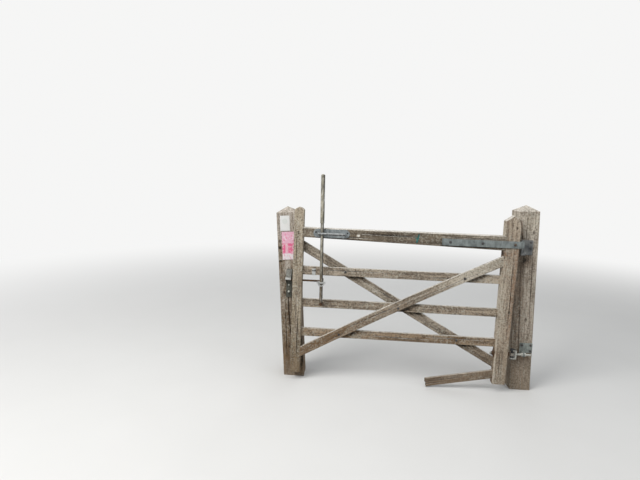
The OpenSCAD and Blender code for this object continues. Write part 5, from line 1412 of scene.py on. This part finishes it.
class GATE_OT_bolts(bpy.types.Operator):
    """Coach bolts, band bolts, brace bolts, screws and the lever's pivot bolt"""
    bl_idname = "gate.bolts"
    bl_label = "Bolts"

    def execute(self, context):
        bolts = metal("dull_bolts")
        heads = [hex_head(x, back, z, COACH_HEAD_W, back - front)
                 if back - front > COACH_HEAD_LEAST_H
                 else dome_head(x, back, z, CATCH_SCREW_R, back - front)
                 for x, z, front, back in solids_of("post_bolts")]
        screws = [dome_head(x, back, z, GUIDE_SCREW_R, back - front)
                  for x, z, front, back in solids_of("guide_screws")]
        catch_x, stile_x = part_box("latch_catch")[1][0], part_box("hanging_stile")[0][0]
        on_catch = ((lambda x, y, z: x < catch_x, metal("worn_screws")),)
        on_stile = ((lambda x, y, z: x > stile_x, metal("brown_bolt_iron")),)
        for name, node_name, body, parts, material, patches in (
                ("post_bolt_heads", "post_bolts", "posts", heads, bolts, on_catch),
                ("band_bolt_set", "band_bolts", "leaf", through_bolts("band_bolts", *BAND_BOLT),
                 bolts, on_stile),
                ("brace_bolt_set", "brace_bolts", "leaf",
                 through_bolts("brace_bolts", *BRACE_BOLT), bolts, ()),
                ("guide_screw_heads", "guide_screws", "leaf", screws, metal("black_iron"), ())):
            make_object(name, joined(parts), body, material, node_name,
                        patches=patches)
        softened("lever_pivot_bolt", metal("rusted_iron"), PIVOT_EDGE)
        return {"FINISHED"}


# Notices

class GATE_OT_notices(bpy.types.Operator):
    """The white notice and the faded pink notice, both without words"""
    bl_idname = "gate.notices"
    bl_label = "Notices"

    def execute(self, context):
        settings = context.scene.gate.notices
        for name, size in NOTICES.items():
            self.sheet(name, *size, self.sheet_material(name, settings))
        return {"FINISHED"}

    def sheet(self, name, width, height, curl, material):
        """A thin sheet on the leaning post.

        Its lower corners lift by the fourth power of their distance, and noise ripples it by the
        square of its height. The back lies the sheet's thickness behind the front.
        """
        low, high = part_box(name)
        up, right = leaning(SHUT_POST_LEAN)
        centre = np.array([(low[0] + high[0]) / 2, high[1], (low[2] + high[2]) / 2])
        u, v = np.meshgrid(np.linspace(-1, 1, 31), np.linspace(-1, 1, 61))
        lift = curl * (np.abs(u) ** 4 * np.clip(-v, 0, 1) ** 4
                       + 0.3 * noise(u * 1.5 + 3, v * 2.5, 0.2, 9) * v ** 2)
        stands_off = NOTICE_STANDS_OFF + lift + NOTICE_RIPPLE * noise(u * 3, v * 5, 0.0, 4)
        points = np.concatenate([
            (centre + u[..., None] * width / 2 * right + v[..., None] * height / 2 * up
             + offset[..., None] * np.array([0, -1.0, 0])).reshape(-1, 3)
            for offset in (stands_off, stands_off - NOTICE_T)])
        rows, columns = u.shape
        number = np.arange(u.size).reshape(rows, columns)
        quads = np.stack([number[:-1, :-1], number[:-1, 1:], number[1:, 1:], number[1:, :-1]],
                         -1).reshape(-1, 4)
        rim = np.concatenate([number[0], number[1:, -1], number[-1, -2::-1], number[-2:0:-1, 0]])
        ahead = np.roll(rim, -1)
        band = np.stack([ahead, rim, rim + u.size, ahead + u.size], -1)
        faces = np.concatenate([quads, quads[:, ::-1] + u.size, band]).tolist()
        local = np.stack([u, v, np.zeros(u.shape)], -1).reshape(-1, 3)
        make_object(name + "_sheet", (points, faces), "posts", material, name,
                    {"sheet": np.concatenate([local, local])}, angle=50)

    def sheet_material(self, name, settings):
        """Plain bands with soft edges, faded and dirtied by noise."""
        material, n, shader = new_material(name + "_print")
        place = n.add("Attribute", attribute_name="sheet").outputs["Vector"]
        across, height = n.part(place, "X"), n.part(place, "Y")
        darkening = n.stretched(place, (3.0, 2.0, 1.0), 5.0, 0.65)
        if name == "white_notice":
            border = n.times(n.ramp(n.math("ABSOLUTE", height), 0.90, 0.93), 0.15)
            n.colour = n.mix(border, WHITE, (0.5, 0.52, 0.5))
            tall = n.times(n.math("SUBTRACT", height, 0.25), 1.5)
            disc = n.math("ADD", n.times(across, across), n.times(tall, tall))
            n.cover(n.ramp(disc, 0.28, 0.34, 0.35, 0.0), (0.50, 0.56, 0.52))
        else:
            pink, deep_pink = tuple(settings.pink), tuple(settings.deep_pink)
            band = n.times(n.ramp(height, -0.52, -0.50), n.ramp(height, 0.16, 0.18, 1.0, 0.0))
            n.colour = n.mix(band, pink, deep_pink)
            aside = n.math("ABSOLUTE", n.math("SUBTRACT", across, -0.35))
            stripe = n.times(n.ramp(aside, 0.18, 0.24, 1.0, 0.0), band)
            n.cover(n.times(stripe, 0.6), (0.75, 0.6, 0.64))
            n.cover(n.ramp(height, -0.58, -0.56, 1.0, 0.0), (0.73, 0.67, 0.70))
            faded = n.ramp(n.stretched(place, (2.6, 5.5, 1.0), 2.0, 0.5), 0.53, 0.58)
            n.cover(n.times(faded, 0.55), (0.78, 0.70, 0.73))
            fresh = n.ramp(n.stretched(place, (3.4, 4.5, 2.0), 2.0, 0.5), 0.56, 0.60)
            n.cover(n.times(fresh, 0.5), deep_pink)
        n.cover(n.ramp(darkening, 0.5, 0.75, 0.0, 0.35), (0.55, 0.50, 0.46))
        n.dress(shader, n.ramp(darkening, 0.3, 0.7, 0.42, 0.62), darkening, *NOTICE_BUMP)
        return material


# Stage

def aimed(name, data, place, right, up, ahead):
    """A camera or lamp at its place, looking ahead."""
    obj = in_scene(name, data)
    obj.matrix_world = [(*right, 0), (*up, 0), (*-ahead, 0), (*place, 1)]
    return obj


class GATE_OT_stage(bpy.types.Operator):
    """A plain pale floor, even light from all round, four soft lamps and the camera"""
    bl_idname = "gate.stage"
    bl_label = "Stage"

    def execute(self, context):
        settings = context.scene.gate.studio
        self.camera(context, settings)
        self.floor()
        self.world(context, settings)
        for name, power, place, size, colour in LAMPS:
            self.lamp(name, place, size, getattr(settings, power), colour)
        context.scene.view_settings.view_transform = "Standard"
        return {"FINISHED"}

    def camera(self, context, settings):
        """The camera looks along its yaw and pitch, then rolls about that line."""
        yaw, pitch, roll = CAMERA_YAW, CAMERA_PITCH, CAMERA_ROLL
        ahead = np.array([-math.sin(yaw) * math.cos(pitch), math.cos(yaw) * math.cos(pitch),
                          -math.sin(pitch)])
        level = np.array([math.cos(yaw), math.sin(yaw), 0.0])
        upright = np.cross(level, ahead)
        right = math.cos(roll) * level + math.sin(roll) * upright
        up = -math.sin(roll) * level + math.cos(roll) * upright
        data = bpy.data.cameras.new("photo_camera")
        data.lens = settings.lens
        data.sensor_width = 36.0
        data.sensor_fit = "HORIZONTAL"
        data.clip_end = 200
        context.scene.camera = aimed("photo_camera", data, settings.camera_place, right, up, ahead)

    def floor(self):
        """A wide disc, pale in sight, whose far part fades into the background for the camera."""
        rings, sides = 24, 96
        radius = np.linspace(0, 1, rings)[:, None] ** 1.8 * FLOOR_RADIUS
        turn = np.arange(sides)[None, :] / sides * 2 * math.pi
        points = np.stack([radius * np.cos(turn), radius * np.sin(turn),
                           np.full((rings, sides), FLOOR_Z)], -1).reshape(-1, 3)
        mesh = bpy.data.meshes.new("floor")
        mesh.from_pydata(points.tolist(), [], grid_faces(rings, sides))
        material, n, shader = new_material("pale_floor")
        place = n.add("TexCoord").outputs["Object"]
        soft = n.noise(place, 2.0, 3.0, 0.5)
        pale = n.mix(soft, (0.63, 0.628, 0.62), (0.66, 0.658, 0.65))
        seen = n.add("LightPath").outputs
        shown = n.math("MAXIMUM", seen["Is Camera Ray"], seen["Is Glossy Ray"])
        n.join(n.mix(shown, (0.36, 0.355, 0.34), pale), shader.inputs["Base Color"])
        n.join(0.9, shader.inputs["Roughness"])
        n.join(0.1, shader.inputs["Specular IOR Level"])
        glow = n.add("Emission", {"Color": BACKDROP, "Strength": 1.0})
        distance = n.add("VectorMath", {0: place}, operation="LENGTH").outputs["Value"]
        far = n.ramp(distance, *FLOOR_FADE)
        n.show(n.times(far, shown), shader, glow, "Material Output")
        mesh.materials.append(material)
        in_scene("floor", mesh)

    def world(self, context, settings):
        """Even light from all round, behind which the camera sees the pale backdrop."""
        world = context.scene.world = bpy.data.worlds.new("studio")
        world.use_nodes = True
        n = Nodes(world.node_tree)
        light = world.node_tree.nodes["Background"]
        n.join((0.95, 0.98, 1.0), light.inputs["Color"])
        n.join(settings.sky, light.inputs["Strength"])
        backdrop = n.add("Background", {"Color": BACKDROP, "Strength": 1.0})
        seen = n.add("LightPath").outputs
        shown = n.math("MAXIMUM", seen["Is Camera Ray"],
                       n.math("MAXIMUM", seen["Is Glossy Ray"], seen["Is Transmission Ray"]))
        n.show(shown, light, backdrop, "World Output")

    def lamp(self, name, place, size, power, colour):
        """A square area lamp that faces the middle of the leaf."""
        data = bpy.data.lights.new(name, "AREA")
        data.energy = power
        data.size = size
        data.color = colour
        ahead = np.array(LAMP_AIM) - np.array(place)
        ahead /= np.linalg.norm(ahead)
        right = np.cross(ahead, [0, 0, 1.0])
        right /= np.linalg.norm(right)
        aimed(name, data, place, right, np.cross(right, ahead), ahead)


class GATE_PT_panel(bpy.types.Panel):
    """Lists the gate's settings and its operators"""
    bl_idname = "GATE_PT_panel"
    bl_label = "Bridle gate"
    bl_space_type = "VIEW_3D"
    bl_region_type = "UI"
    bl_category = "Gate"

    def draw(self, context):
        gate = context.scene.gate
        for part in (gate.timber, gate.steel, gate.notices, gate.studio):
            box = self.layout.box()
            for key in part.__annotations__:
                box.prop(part, key)
        for operator in OPERATORS:
            self.layout.operator(operator.bl_idname)


OPERATORS = (GATE_OT_stage, GATE_OT_posts, GATE_OT_stiles, GATE_OT_rails, GATE_OT_braces,
             GATE_OT_hinges, GATE_OT_latch, GATE_OT_bolts, GATE_OT_notices)
CLASSES = (TimberSettings, SteelSettings, NoticeSettings, StudioSettings, GateSettings,
           *OPERATORS, GATE_PT_panel)


def register():
    """Makes Blender know the settings, the operators and the panel."""
    for item in CLASSES:
        bpy.utils.register_class(item)
    bpy.types.Scene.gate = bpy.props.PointerProperty(type=GateSettings)


def unregister():
    """Takes them out again, the last one first."""
    del bpy.types.Scene.gate
    for item in reversed(CLASSES):
        bpy.utils.unregister_class(item)


def main():
    """Builds every piece in order."""
    register()
    bpy.ops.gate.stage()
    bpy.ops.gate.posts()
    bpy.ops.gate.stiles()
    bpy.ops.gate.rails()
    bpy.ops.gate.braces()
    bpy.ops.gate.hinges()
    bpy.ops.gate.latch()
    bpy.ops.gate.bolts()
    bpy.ops.gate.notices()


if __name__ == "__main__":
    main()
